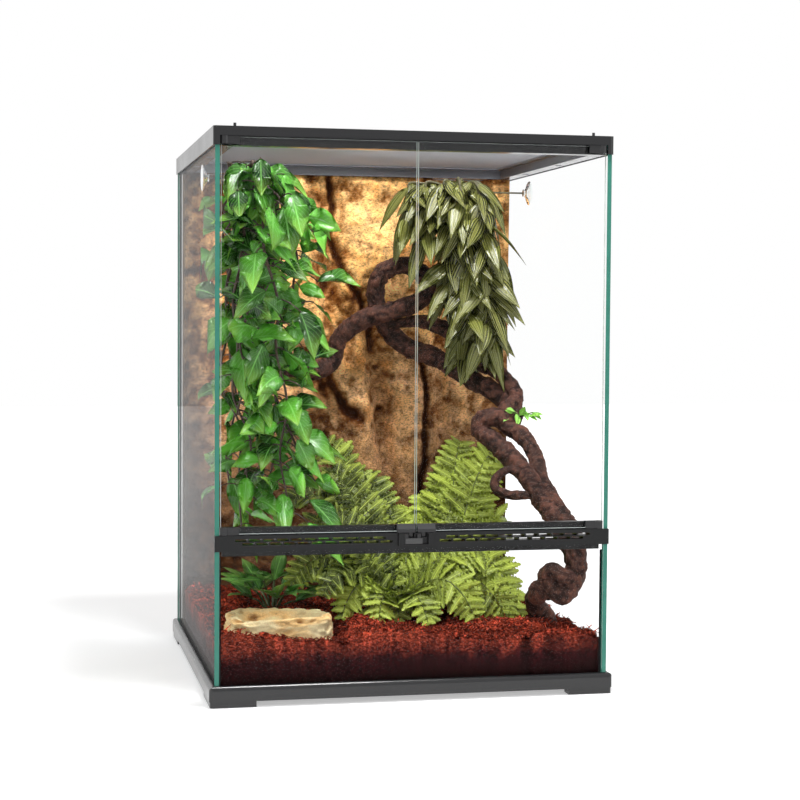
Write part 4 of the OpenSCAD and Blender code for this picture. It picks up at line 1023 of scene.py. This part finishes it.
def soil_height(x, y):
    """Height of the soil: a slope to the right and the back, slow mounds, and a flat bed round the dish."""
    low, high = corners("water_dish")
    ax, ay = x / MM, y / MM
    slope = SOIL_HEIGHT - 0.007 * x / IN_X - 0.005 * (y + IN_Y) / IN_Y
    mounds = (waves(2.1 * ax + 1.1 * ay) + 0.7 * waves(3.3 * ay - 1.6 * ax + 90)
              + 0.5 * waves(5.1 * ax) * waves(4.7 * ay + 90))
    far = np.maximum(np.maximum(low[0] - x, x - high[0]), np.maximum(low[1] - y, y - high[1]))
    bed = 1 - ease((far - 0.004) / 0.024)
    return FLOOR + (slope + SOIL_RELIEF * mounds) * (1 - bed) + BED_HEIGHT * bed


class TERRARIUM_OT_soil(bpy.types.Operator):
    """Makes the soil with its loose fibres and bark chips"""

    bl_idname = "terrarium.soil"
    bl_label = "Soil"

    def execute(self, context):
        s = context.scene.terrarium.soil
        rng = np.random.default_rng(SEEDS["soil"])
        low, high = corners("substrate")
        x, y = np.meshgrid(np.linspace(low[0], high[0], SOIL_COLS), np.linspace(low[1], high[1], SOIL_ROWS),
                           indexing="xy")
        lumps = rough(np.stack([x, y, 0 * x], -1), 0.013, 3, 4, 0.68)
        top = np.stack([x, y, soil_height(x, y) + SOIL_LUMPS * lumps], -1)

        def to_floor(edge):
            """The edge dropped to just over the floor pane and drawn in a little."""
            edge[:, 0] *= 0.99
            edge[:, 1] = np.where(edge[:, 1] < low[1] + 0.001, low[1] + 0.002, edge[:, 1])
            edge[:, 2] = FLOOR + SOLE_GAP
            return edge

        shape = Shape()
        sealed_sheet(shape, top, to_floor, [0, (low[1] + high[1]) / 2, FLOOR + SOLE_GAP],
                     np.clip(0.5 + 0.45 * lumps, 0, 1), 0.4)
        shape.piece("soil_bed", [soil_stuff("soil_bed", 1.0)], "substrate")

        dish_low, dish_high = corners("water_dish")
        centre, half = (dish_low + dish_high)[:2] / 2, (dish_high - dish_low)[:2] / 2

        def clear(q):
            """The places that lie clear of the dish's rounded outline."""
            return q[(np.abs((q - centre) / half) ** 3).sum(1) > DISH_KEEP]

        def scatter(count):
            """Places on the soil, more of them near the front pane."""
            q = rng.uniform(low[:2] + [0.004, 0.002], high[:2] - [0.004, 0.003], (count * 2, 2))
            q = clear(q)[:count]
            front = int(count * FRONT_SHARE)
            q[:front, 1] = low[1] + rng.uniform(0.001, 0.02, front)
            return clear(q)

        q = scatter(s.fibres)
        n = len(q)
        turn, lift = rng.uniform(0, 2 * np.pi, n), rng.normal(0, 0.35, n)
        long = rng.uniform(0.006, 0.02, n)
        t = np.linspace(-0.5, 0.5, 5)
        d = np.stack([np.cos(turn) * np.cos(lift), np.sin(turn) * np.cos(lift), np.sin(lift)], -1)
        base = np.stack([q[:, 0], q[:, 1], soil_height(q[:, 0], q[:, 1]) + rng.uniform(0.001, 0.0065, n)], -1)
        bend = rng.normal(0, 0.25, (n, 1, 3)) * long[:, None, None] * (t**2)[None, :, None]
        paths = base[:, None] + d[:, None] * (t[None, :] * long[:, None])[..., None] + bend
        paths[..., 0] = np.clip(paths[..., 0], low[0] + 0.0005, high[0] - 0.0005)
        paths[..., 1] = np.clip(paths[..., 1], low[1] + 0.0005, high[1] - 0.0005)
        shape = Shape()
        tubes(shape, paths, rng.uniform(0.0003, 0.0007, n)[:, None], 3, rng.uniform(0, 1.0, n))
        shape.piece("soil_fibres", [soil_stuff("soil_fibre", 1.2)], None)

        q = scatter(s.chips)
        n = len(q)
        corner = np.array([[1, 0, 0], [0, 1, 0], [-1, 0, 0], [0, -1, 0], [0, 0, 1], [0, 0, -1]], float)
        faces = np.array([[0, 1, 4], [1, 2, 4], [2, 3, 4], [3, 0, 4],
                          [1, 0, 5], [2, 1, 5], [3, 2, 5], [0, 3, 5]])
        size = rng.uniform(0.0014, 0.0052, (n, 1, 1)) * rng.uniform(0.35, 1.3, (n, 1, 3)) * [1, 1, 0.5]
        spin, _ = np.linalg.qr(rng.normal(0, 1, (n, 3, 3)) * [1, 1, 0.5])
        spin *= np.sign(np.linalg.det(spin))[:, None, None]
        base = np.stack([q[:, 0], q[:, 1], soil_height(q[:, 0], q[:, 1]) + rng.uniform(0, 0.005, n)], -1)
        points = base[:, None] + (corner[None] * size + rng.normal(0, 0.0003, (n, 6, 3))) @ spin
        points[..., 1] = np.maximum(points[..., 1], low[1] + 0.0004)
        points[..., 0] = np.clip(points[..., 0], low[0] + 0.0004, high[0] - 0.0004)
        shape = Shape()
        shape.add(points, [copies(faces, n, 6)], np.repeat(rng.uniform(0.1, 1.0, n), 6))
        shape.piece("bark_chips", [soil_stuff("bark_chip", 1.1)], None, smooth=False)
        return {"FINISHED"}


DISH_RINGS = [
    # share of the outline and share of the height of each ring of the dish, from the sole to the basin
    (0.92, 0.0), (0.97, 0.08), (1.0, 0.25), (0.99, 0.5), (0.985, 0.74), (0.975, 0.9), (0.945, 0.985),
    (0.9, 1.0), (0.83, 0.985), (0.77, 0.95), (0.71, 0.85), (0.64, 0.66), (0.56, 0.52), (0.42, 0.47),
    (0.2, 0.46),
]


class TERRARIUM_OT_dish(bpy.types.Operator):
    """Makes the water dish: rings of an uneven rounded rectangle that rise to the rim and go down again"""

    bl_idname = "terrarium.dish"
    bl_label = "Water dish"

    def execute(self, context):
        low, high = corners("water_dish")
        centre, half = (low + high) / 2, (high - low) / 2
        path = curve([(r, 0, h) for r, h in DISH_RINGS], 5)
        share, height = path[:, 0], path[:, 2]
        a = np.linspace(0, 2 * np.pi, 160, endpoint=False)
        c, sn = np.abs(np.cos(a)), np.abs(np.sin(a))
        outline = (c**4 + sn**4) ** (-1 / 4) * (1 + 0.02 * np.sin(3 * a + 0.4) + 0.015 * np.sin(7 * a + 1.0))
        outline /= np.maximum((outline * c).max(), (outline * sn).max())
        r = share[:, None] * outline[None]
        x, y = r * np.cos(a) * half[0], r * np.sin(a) * half[1]
        z = low[2] + height[:, None] * (high[2] - low[2]) + 0 * x
        p = np.stack([x, y, z], -1)
        ledges = np.abs(rough(p * [1, 1, 2.0], 0.026, 71, 4, 0.6))
        fine = rough(p, 0.008, 73, 3)
        outer = ease((share - 0.78) / 0.1)[:, None]
        pull = 1 - outer * (0.01 + 0.1 * ledges) * ease(height / 0.15)[:, None] - 0.014 * fine * outer
        x, y = x * pull, y * pull
        drop = (0.0022 * ledges + 0.0006 * fine) * (ease((height - 0.3) / 0.3) * ease(height / 0.1))[:, None]
        z = z - drop - 0.0025 * ease((height - 0.5) / 0.4)[:, None] * (0.5 + 0.5 * np.sin(2 * a + 0.6))[None]
        points = np.stack([centre[0] + x, centre[1] + y, np.maximum(z, low[2])], -1)
        shade = np.clip(0.62 - 0.7 * (ledges - 0.25) + 0.25 * fine, 0, 1)
        shape = Shape()
        shape.add(points, ring_faces(*x.shape, True), shade)
        shape.piece("stone_dish", [dish_stone()], "water_dish")
        return {"FINISHED"}


# ---- vine

# The routes of the strands, in percent as inside takes them.
MAIN_ROUTE = [
    (-86, 4, 56), (-70, 24, 58), (-46, 46, 58), (-26, 62, 57), (-14, 66, 59), (-10, 64, 64), (2, 60, 68),
    (18, 55, 70), (33, 50, 72), (42, 50, 75), (39, 53, 78), (29, 57, 80), (17, 60, 79), (12, 62, 76),
    (13, 64, 71), (20, 65, 66), (32, 62, 62), (47, 53, 60), (62, 39, 56), (74, 26, 53), (82, 12, 50),
    (79, 2, 47), (68, 2, 48), (61, 5, 46), (67, -2, 43), (74, -14, 40), (78, -32, 37), (83, -50, 32),
    (87, -68, 28), (90, -83, 23), (90, -86, 19), (84, -85, 15), (78, -80, 17), (74, -72, 15),
    (75, -64, 12), (82, -60, 9), (87, -58, 6),
]
SECOND_ROUTE = [
    (19, 60, 67), (37, 56, 68), (52, 50, 66), (62, 43, 62), (69, 35, 59), (78, 27, 57), (84, 18, 54),
    (83, 10, 51), (75, 4, 49), (76, -2, 46), (83, -10, 44), (86, -24, 40), (85, -38, 36), (88, -54, 32),
    (90, -70, 29), (91, -84, 26), (91, -88, 22), (90, -88, 19), (84, -88, 19), (78, -84, 20),
    (76, -78, 18), (80, -72, 14),
]
TENDRIL_ROUTE = [
    (84, -36, 35), (76, -34, 37), (68, -32, 38), (61, -31, 36), (61, -33, 34), (67, -37, 33), (74, -41, 33),
    (82, -44, 33),
]


def carried(path):
    """Directions square to a path that turn with it and not about it."""
    ahead = unit(np.gradient(path, axis=0))
    side = np.zeros_like(path)
    side[0] = unit(np.cross(ahead[0], UP))
    for i in range(1, len(path)):
        side[i] = unit(side[i - 1] - (side[i - 1] @ ahead[i]) * ahead[i])
    return side, np.cross(ahead, side)


def bark_tube(shape, route, radius, start, depth, seed, sides=40, step=0.0018):
    """Adds one strand: a tube whose radius is roughened by noise and by ridges that wind round it."""
    path = curve(inside(route), 12)
    length = np.linalg.norm(np.diff(path, axis=0), axis=1).sum()
    count = int(length / step)
    path = evenly(path, count)
    side, over = carried(path)
    run = np.linspace(0, length, count)
    a = np.linspace(0, 2 * np.pi, sides, endpoint=False)
    ring = np.cos(a)[None, :, None] * side[:, None] + np.sin(a)[None, :, None] * over[:, None]
    taper = radius * np.minimum(1, start + run / 0.11) * (1 - 0.35 * ease((run - length + 0.02) / 0.02))
    p = path[:, None] + ring * radius
    wind = a[None] + run[:, None] * 34 + seed
    ridges = 0.6 * np.abs(np.sin(1.5 * wind + 1.6 * rough(p, 0.03, seed, 2))) - 0.3
    lumps = rough(p, 0.02, seed + 7, 3)
    fine = rough(p, 0.0042, seed + 13, 3, 0.65)
    size = taper[:, None] * (0.98 + depth * (ridges + 0.7 * lumps + 0.7 * fine))
    # painted highlights on the winding ridges and painted shade between them
    shade = np.clip(0.42 + 0.5 * (ridges + 0.5 * lumps + 1.3 * fine), 0, 1)
    points = path[:, None] + ring * size[..., None]
    shape.add(points, ring_faces(count, sides), shade)


class TERRARIUM_OT_vine(bpy.types.Operator):
    """Makes the twisted vine"""

    bl_idname = "terrarium.vine"
    bl_label = "Vine"

    def execute(self, context):
        s = context.scene.terrarium.vine
        shape = Shape()
        bark_tube(shape, MAIN_ROUTE, 0.0115, 0.3, s.bark, 3)
        bark_tube(shape, SECOND_ROUTE, 0.0095, 0.55, s.bark, 19)
        bark_tube(shape, TENDRIL_ROUTE, 0.0055, 1.0, s.bark, 41, 20)
        held_in(shape, 0.001)
        shape.piece("vine_strands", [bark()], "twisted_vine")
        return {"FINISHED"}


# ---- plants

BROAD_STEMS = [
    # top and lower end in percent, bend towards +X in metres and number of leaves
    ((-84, -46, 94), (-84, -58, 50), 0.006, 30), ((-72, -30, 96), (-64, -36, 34), 0.016, 48),
    ((-60, -14, 96), (-50, -18, 58), 0.014, 30), ((-84, 8, 92), (-84, 0, 32), 0.008, 34),
    ((-74, -56, 90), (-62, -66, 30), 0.010, 44), ((-70, -40, 60), (-52, -44, 36), 0.012, 22),
    ((-72, -34, 99), (-46, -40, 84), 0.008, 18), ((-88, -30, 99), (-90, -44, 84), 0.0, 16),
    ((-76, -40, 99), (-64, -48, 88), 0.01, 16), ((-86, -46, 60), (-84, -52, 27), 0.012, 34),
    ((-88, -10, 60), (-76, -14, 27), 0.008, 30),
]
BROAD_TOP = (-78, -26, 96)
STRIPED_STEMS = [
    ((30, 50, 98), (27, 48, 90), 0.004, 16), ((38, 44, 98), (36, 42, 86), 0.006, 20),
    ((47, 38, 98), (50, 34, 74), 0.006, 28), ((54, 30, 98), (57, 18, 68), 0.006, 34),
    ((64, 26, 97), (67, 14, 65), 0.004, 34), ((60, 44, 98), (63, 38, 62), 0.004, 34),
    ((70, 36, 97), (70, 24, 64), 0.0, 26),
]
STRIPED_TOP = (56, 42, 96)
SEEDS = {"soil": 17, "broad": 5, "striped": 8, "ferns": 21, "ground": 14, "sprig": 15}
STEM_POINTS, STRIPED_POINTS, FROND_POINTS, LEAF_TURN = 48, 40, 60, 2.4
# Widths of leaf outlines from the stalk to the tip, in shares of the widest.
OVATE = np.array([0.07, 0.46, 0.76, 0.94, 1.0, 0.97, 0.85, 0.63, 0.34, 0.02])
LANCE = np.array([0.14, 0.55, 0.86, 0.99, 1.0, 0.93, 0.77, 0.54, 0.27, 0.02])
CUP_REACH = 0.0083


def hanger(shape, top, side, slot):
    """Adds the stalk from the knot of the stems to the suction cup on the side pane."""
    p = inside(top)
    tip = np.array([side * (IN_X - CUP_REACH), p[1], p[2]])
    tubes(shape, [np.linspace(tip, p, 6)], 0.0011, 8, 0.4, slot)


class TERRARIUM_OT_broad_plant(bpy.types.Operator):
    """Makes the hanging plant with broad glossy leaves"""

    bl_idname = "terrarium.broad_plant"
    bl_label = "Broad-leaved plant"

    def execute(self, context):
        s = context.scene.terrarium.plants
        rng = np.random.default_rng(SEEDS["broad"])
        shape = Shape()
        hanger(shape, BROAD_TOP, -1, 1)
        for k, (top, low, bend, count) in enumerate(BROAD_STEMS):
            a, b = inside(top), inside(low)
            path = evenly(curve([inside(BROAD_TOP), a, (a + b) / 2 + [bend, 0, 0], b], 14), STEM_POINTS)
            i = np.arange(STEM_POINTS)
            wobble = 0.004 * np.stack([np.sin(i * 0.5 + k), np.cos(i * 0.37 + k), 0 * i], -1)
            path = path + wobble * ease(i / 12)[:, None]
            tubes(shape, [path], np.linspace(0.0021, 0.0011, STEM_POINTS)[None], 8, 0.3, 1)
            at = np.linspace(7, STEM_POINTS - 2, count) + rng.uniform(-0.6, 0.6, count)
            node = path[np.clip(at.astype(int), 0, STEM_POINTS - 1)]
            turn = np.arange(count) * LEAF_TURN + k + rng.normal(0, 0.35, count)
            turn = np.where((np.abs(node[:, 0]) > IN_X - 0.04) & (np.cos(turn) < 0), np.pi - turn, turn)
            away = np.stack([np.cos(turn), np.sin(turn) - 0.25, 0 * turn], -1)
            stalk = rng.uniform(0.008, 0.03, count)
            t = np.linspace(0, 1, 5)[None, :, None]
            lift = rng.uniform(-0.1, 0.7, count)[:, None, None]
            paths = node[:, None] + (away[:, None] * t + UP * (lift * t - 0.5 * t * t)) * stalk[:, None, None]
            tubes(shape, paths, 0.0008, 5, 0.5, 1)
            base = paths[:, -1] - away * 0.001
            under_lid = ease((node[:, 2] - TOP + 0.09) / 0.05)
            down = (rng.uniform(-0.6, 1.0, count) + 0.9 * under_lid)[:, None]
            along = unit(away * 0.9 - UP * down + rng.normal(0, 0.45, (count, 3)))
            upper = unit(UP * 0.6 + np.array([0, -0.75, 0]) + away * 0.35 + rng.normal(0, 0.5, (count, 3)))
            size = s.broad_leaf * rng.uniform(0.55, 1.12, count)
            slim = ease((0.27 - node[:, 2]) / 0.06)
            blades(shape, base, along, upper, size * (1 + 0.2 * slim),
                   size * rng.uniform(0.54, 0.72, count) * (1 - 0.3 * slim), OVATE,
                   droop=rng.uniform(0.1, 0.55, count), fold=rng.uniform(0.15, 0.65, count), wave=0.16,
                   value=np.clip(rng.uniform(0, 1, count) ** 1.1 + 0.25 * slim, 0, 1), seed=k + 1)
        held_in(shape)
        looks = greens("broad", 0.22, veins=8.0, vein_colour=s.veins, shine=0.45)
        shape.piece("broad_plant", looks, "broad_leaf_plant")
        return {"FINISHED"}


class TERRARIUM_OT_striped_plant(bpy.types.Operator):
    """Makes the hanging plant with long striped leaves"""

    bl_idname = "terrarium.striped_plant"
    bl_label = "Striped plant"

    def execute(self, context):
        s = context.scene.terrarium.plants
        rng = np.random.default_rng(SEEDS["striped"])
        shape = Shape()
        hanger(shape, STRIPED_TOP, 1, 1)
        for k, (top, low, bend, count) in enumerate(STRIPED_STEMS):
            a, b = inside(top), inside(low)
            path = curve([inside(STRIPED_TOP), a, (a + b) / 2 + [bend, -0.004, 0], b], 14)
            path = evenly(path, STRIPED_POINTS)
            tubes(shape, [path], np.linspace(0.0024, 0.0013, STRIPED_POINTS)[None], 8, 0.3, 1)
            at = np.linspace(4, STRIPED_POINTS - 1, count) + rng.uniform(-0.5, 0.5, count)
            node = path[np.clip(at.astype(int), 0, STRIPED_POINTS - 1)]
            turn = np.arange(count) * LEAF_TURN + k * 1.3 + rng.normal(0, 0.3, count)
            away = np.stack([np.cos(turn), np.sin(turn) - 0.35, 0 * turn], -1)
            out = rng.uniform(0.35, 1.1, count)[:, None]
            along = unit(away * out - UP * 0.9 + rng.normal(0, 0.16, (count, 3)))
            upper = unit(away * 0.6 + np.array([0, -0.9, 0]) + UP * 0.35 + rng.normal(0, 0.3, (count, 3)))
            size = s.long_leaf * rng.uniform(0.72, 1.05, count)
            blades(shape, node, along, upper, size, size * rng.uniform(0.3, 0.38, count), LANCE,
                   droop=rng.uniform(0.0, 0.3, count), fold=rng.uniform(0.1, 0.35, count), wave=0.06,
                   thick=0.0005, value=rng.uniform(0, 1, count) ** 1.5, seed=k + 30)
        held_in(shape)
        looks = greens("striped", 0.26, stripes=6.0, vein_colour=s.stripes, shine=0.42)
        shape.piece("striped_plant", looks, "striped_plant")
        return {"FINISHED"}


LARGE_FRONDS = [
    # heading in degrees, share of the full length, rise of the arch and droop of its end
    (350, 0.9, 1.9, 0.92), (338, 0.8, 1.5, 0.95), (18, 0.62, 2.1, 0.75), (52, 0.42, 3.4, 0.62),
    (84, 0.42, 4.2, 0.62), (112, 0.52, 4.3, 0.62), (140, 0.82, 3.4, 0.62), (166, 0.86, 2.5, 0.66),
    (184, 0.72, 1.7, 0.74), (214, 0.5, 1.8, 0.85), (246, 0.46, 1.5, 0.85), (284, 0.5, 1.4, 0.85),
    (320, 0.62, 1.6, 0.88),
]
SMALL_FRONDS = [
    (2, 0.6, 2.8, 0.7), (18, 0.68, 3.7, 0.62), (52, 0.55, 4.7, 0.6), (110, 0.4, 4.4, 0.62),
    (146, 0.44, 3.4, 0.62), (190, 0.5, 2.4, 0.68), (306, 0.42, 2.5, 0.7),
]
FERNS = [
    # piece, node, place of the root and fronds
    ("big_fern", "large_fern", (4, -30, 8), LARGE_FRONDS),
    ("little_fern", "small_fern", (42, 18, 8), SMALL_FRONDS),
]
FROND, FROND_LEAN, LEAFLET_GAP, LEAFLET_WIDTH = 0.2, 48, 0.0092, 0.0165
PINNA = np.array([0.5, 0.85, 0.96, 1.0, 1.0, 0.98, 0.94, 0.89, 0.83, 0.76, 0.68, 0.58, 0.46, 0.3, 0.05])
TEETH = np.where(np.arange(15) % 2, 1.0, 0.6)


def frond(shape, root, heading, length, rise, droop, pinna, rng, shade):
    """Adds one frond: a midrib that arches as rise times (0.95 t - droop t^2), with toothed leaflets along
    both sides whose length follows a sine of t. Fronds to the sides lean their top to the front."""
    level = np.array([np.cos(np.radians(heading)), np.sin(np.radians(heading)), 0])
    t = np.linspace(0, 1.04, FROND_POINTS)[:, None]
    path = root + level * length * t * (1 - 0.1 * rise * t) + UP * length * rise * (0.95 * t - droop * t * t)
    run = np.linalg.norm(np.diff(path, axis=0), axis=1).sum()
    path = evenly(path, FROND_POINTS)
    tubes(shape, [path], np.linspace(0.0017, 0.0006, FROND_POINTS)[None], 6, 0.5, 1)
    count = int(run / LEAFLET_GAP)
    for side in (-1, 1):
        u = np.linspace(0.16, 0.995, count) + rng.normal(0, 0.003, count) + 0.007 * side
        at = np.clip(u * (FROND_POINTS - 1), 0, FROND_POINTS - 1.01)
        k = at.astype(int)
        f = (at - k)[:, None]
        base = path[k] * (1 - f) + path[k + 1] * f
        ahead = unit(path[k + 1] - path[k])
        flat = unit(np.cross(level, UP))
        over = unit(np.cross(flat, ahead))
        lean = np.radians(FROND_LEAN + rng.normal(0, 12)) * level[0]
        flat, over = flat * np.cos(lean) - over * np.sin(lean), over * np.cos(lean) + flat * np.sin(lean)
        out = flat * side
        lift = rng.normal(0.12, 0.16, count)[:, None]
        along = unit(out + ahead * rng.uniform(0.3, 0.55, count)[:, None] + over * lift)
        swell = np.clip(np.sin(np.pi * (0.1 + 0.86 * u)), 0, 1) ** 0.75
        reach = pinna * swell * min(1, (run / 0.2) ** 0.5) + 0.003
        upper = unit(over + rng.normal(0, 0.24, (count, 3)))
        droops, folds = rng.uniform(0.0, 0.22, count), rng.uniform(0.0, 0.25, count)
        # painted shade: leaflets darker towards the root of each frond, on top of the frond's own shade value
        value = np.clip(rng.normal(shade, 0.2, count) - 0.4 + 0.6 * ease(u / 0.7), 0, 1)
        blades(shape, base, along, upper, reach, LEAFLET_WIDTH * (0.45 + 0.55 * reach / reach.max()), PINNA,
               droop=droops, fold=folds, wave=0.14, thick=0.0003, teeth=TEETH, value=value,
               seed=int(heading) + side + 2)


class TERRARIUM_OT_ferns(bpy.types.Operator):
    """Makes the two ferns"""

    bl_idname = "terrarium.ferns"
    bl_label = "Ferns"

    def execute(self, context):
        s = context.scene.terrarium.plants
        looks = greens("fern", 0.42, veins=6.0)
        for k, (name, node, at, fronds) in enumerate(FERNS):
            rng = np.random.default_rng(SEEDS["ferns"] + k)
            shape = Shape()
            root = inside(at)
            for heading, share, rise, droop in fronds:
                in_shade = 100 < heading < 190 and name == "big_fern"
                shade = rng.uniform(-0.15, 0.2) + (-0.15 if in_shade else 0.55)
                frond(shape, root, heading, FROND * share, rise, droop, s.pinna, rng, shade)
                frond(shape, root, heading + rng.uniform(12, 22), FROND * share * 0.8, rise * 1.04, droop,
                      s.pinna, rng, shade - 0.15)
            stake = np.linspace(root - [0, 0, 0.014], root + [0, 0, 0.008], 5)
            tubes(shape, [stake], 0.0045, 10, 0.3, 1)
            held_in(shape, low=float(corners(node)[0][2]))
            shape.piece(name, looks, node)
        return {"FINISHED"}


GROUND_AT, GROUND_STALKS = (-62, -22, 9), 11
SPRIG_AT, SPRIG_LEAVES = (84, 6, 48), 12


class TERRARIUM_OT_ground_plant(bpy.types.Operator):
    """Makes the low plant behind the dish"""

    bl_idname = "terrarium.ground_plant"
    bl_label = "Ground plant"

    def execute(self, context):
        s = context.scene.terrarium.plants
        rng = np.random.default_rng(SEEDS["ground"])
        shape = Shape()
        root = inside(GROUND_AT)
        count = GROUND_STALKS
        turn = np.arange(count) * 2 * np.pi / count + 0.2
        away = np.stack([np.cos(turn), np.sin(turn), 0 * turn], -1)
        top = root + away * rng.uniform(0.012, 0.034, count)[:, None]
        top = top + UP * rng.uniform(0.012, 0.045, count)[:, None]
        t = np.linspace(0, 1, 6)[None, :, None]
        start = root - UP * 0.01
        paths = start + (top[:, None] - start) * t + UP * (0.008 * np.sin(np.pi * t))
        tubes(shape, paths, 0.0013, 6, 0.4, 1)
        for m in (-1, 0, 1):
            head = turn + 0.75 * m
            along = unit(np.stack([np.cos(head), np.sin(head) - 0.1, np.full(count, 0.9 - 0.55 * abs(m))], -1)
                         + rng.normal(0, 0.2, (count, 3)))
            upper = unit(UP + np.array([0, -0.35, 0]) + rng.normal(0, 0.2, (count, 3)))
            size = s.broad_leaf * rng.uniform(0.8, 1.35, count)
            blades(shape, paths[:, -1], along, upper, size, size * 0.3, LANCE, wave=0.08,
                   value=rng.uniform(0, 0.7, count), seed=50 + m)
        held_in(shape, low=float(corners("ground_plant")[0][2]))
        shape.piece("low_plant", greens("ground", 0.33, veins=8.0), "ground_plant")
        return {"FINISHED"}


class TERRARIUM_OT_sprig(bpy.types.Operator):
    """Makes the sprig on the vine"""

    bl_idname = "terrarium.sprig"
    bl_label = "Leaf sprig"

    def execute(self, context):
        rng = np.random.default_rng(SEEDS["sprig"])
        shape = Shape()
        root = inside(SPRIG_AT) + [0, -0.0085, 0.002]
        count = SPRIG_LEAVES
        spread = np.linspace(-1, 1, count)
        up = 0.003 * np.sin(7 * spread) + 0.002
        top = root + np.stack([0.014 * spread, np.full(count, -0.009), up], -1)
        t = np.linspace(0, 1, 4)[None, :, None]
        tubes(shape, root + (top[:, None] - root) * t, 0.0009, 5, 0.5, 1)
        along = unit(np.stack([0.8 * spread, np.full(count, -0.45), 0.5 * np.cos(9 * spread)], -1)
                     + rng.normal(0, 0.12, (count, 3)))
        upper = unit(UP * 0.8 + np.array([0, -0.7, 0]) + rng.normal(0, 0.2, (count, 3)))
        size = rng.uniform(0.012, 0.019, count)
        blades(shape, top, along, upper, size, size * 0.42, LANCE, droop=0.15, fold=0.25, wave=0.1,
               value=rng.uniform(0.3, 1, count), seed=61)
        held_in(shape, 0.006)
        shape.piece("vine_sprig", greens("sprig", 0.35, veins=5.0), "leaf_sprig")
        return {"FINISHED"}


CUP_PROFILE = [
    # radius and height of the cup's outline from the pane to the end of its knob, in shares of its radius
    (0.0, 0.06), (0.5, 0.05), (0.86, 0.01), (0.99, 0.0), (1.0, 0.03), (0.95, 0.08), (0.75, 0.17),
    (0.52, 0.26), (0.38, 0.34), (0.3, 0.37), (0.24, 0.4), (0.25, 0.45), (0.31, 0.48), (0.31, 0.53),
    (0.27, 0.55), (0.0, 0.55),
]
CUP_RADIUS = 0.015


class TERRARIUM_OT_cups(bpy.types.Operator):
    """Makes the suction cups: an outline turned about the line out of the pane"""

    bl_idname = "terrarium.cups"
    bl_label = "Suction cups"

    def execute(self, context):
        shape = Shape()
        profile = curve([(a, 0, b) for a, b in CUP_PROFILE], 3)[1:-1]
        a = np.linspace(0, 2 * np.pi, 48, endpoint=False)
        for side, top in ((-1, BROAD_TOP), (1, STRIPED_TOP)):
            p = inside(top)
            ring = np.maximum(profile[:, :1], 0.004) * CUP_RADIUS
            x = side * (IN_X - 0.0002 - np.clip(profile[:, 2:], 0, 0.55) * CUP_RADIUS) + 0 * a
            points = np.stack([x, p[1] + ring * np.cos(a), p[2] + ring * np.sin(a)], -1)
            faces = ring_faces(*x.shape, True)
            shape.add(points, faces if side > 0 else [f[:, ::-1] for f in faces], 0.5)
        shape.piece("vinyl_cups", [soft_vinyl()], "suction_cups")
        return {"FINISHED"}


# ---- panel and start

STEPS = (
    TERRARIUM_OT_stage, TERRARIUM_OT_glass, TERRARIUM_OT_mouldings, TERRARIUM_OT_screen, TERRARIUM_OT_rock,
    TERRARIUM_OT_soil, TERRARIUM_OT_dish, TERRARIUM_OT_vine, TERRARIUM_OT_broad_plant,
    TERRARIUM_OT_striped_plant, TERRARIUM_OT_ferns, TERRARIUM_OT_ground_plant, TERRARIUM_OT_sprig,
    TERRARIUM_OT_cups,
)


class TERRARIUM_PT_panel(bpy.types.Panel):
    """Buttons that build each part of the terrarium"""

    bl_label = "Terrarium"
    bl_idname = "TERRARIUM_PT_panel"
    bl_space_type = "VIEW_3D"
    bl_region_type = "UI"
    bl_category = "Terrarium"

    def draw(self, context):
        for step in STEPS:
            self.layout.operator(step.bl_idname)


CLASSES = (
    StageSettings, GlassSettings, PlasticSettings, RockSettings, SoilSettings, DishSettings, VineSettings,
    PlantSettings, TerrariumSettings, *STEPS, TERRARIUM_PT_panel,
)


def register():
    """Makes the settings, the operators and the panel known to Blender."""
    for cls in CLASSES:
        bpy.utils.register_class(cls)
    bpy.types.Scene.terrarium = PointerProperty(type=TerrariumSettings)


def unregister():
    """Takes them out again."""
    del bpy.types.Scene.terrarium
    for cls in reversed(CLASSES):
        bpy.utils.unregister_class(cls)


def main():
    register()
    for step in STEPS:
        group, name = step.bl_idname.split(".")
        getattr(getattr(bpy.ops, group), name)()


if __name__ == "__main__":
    main()
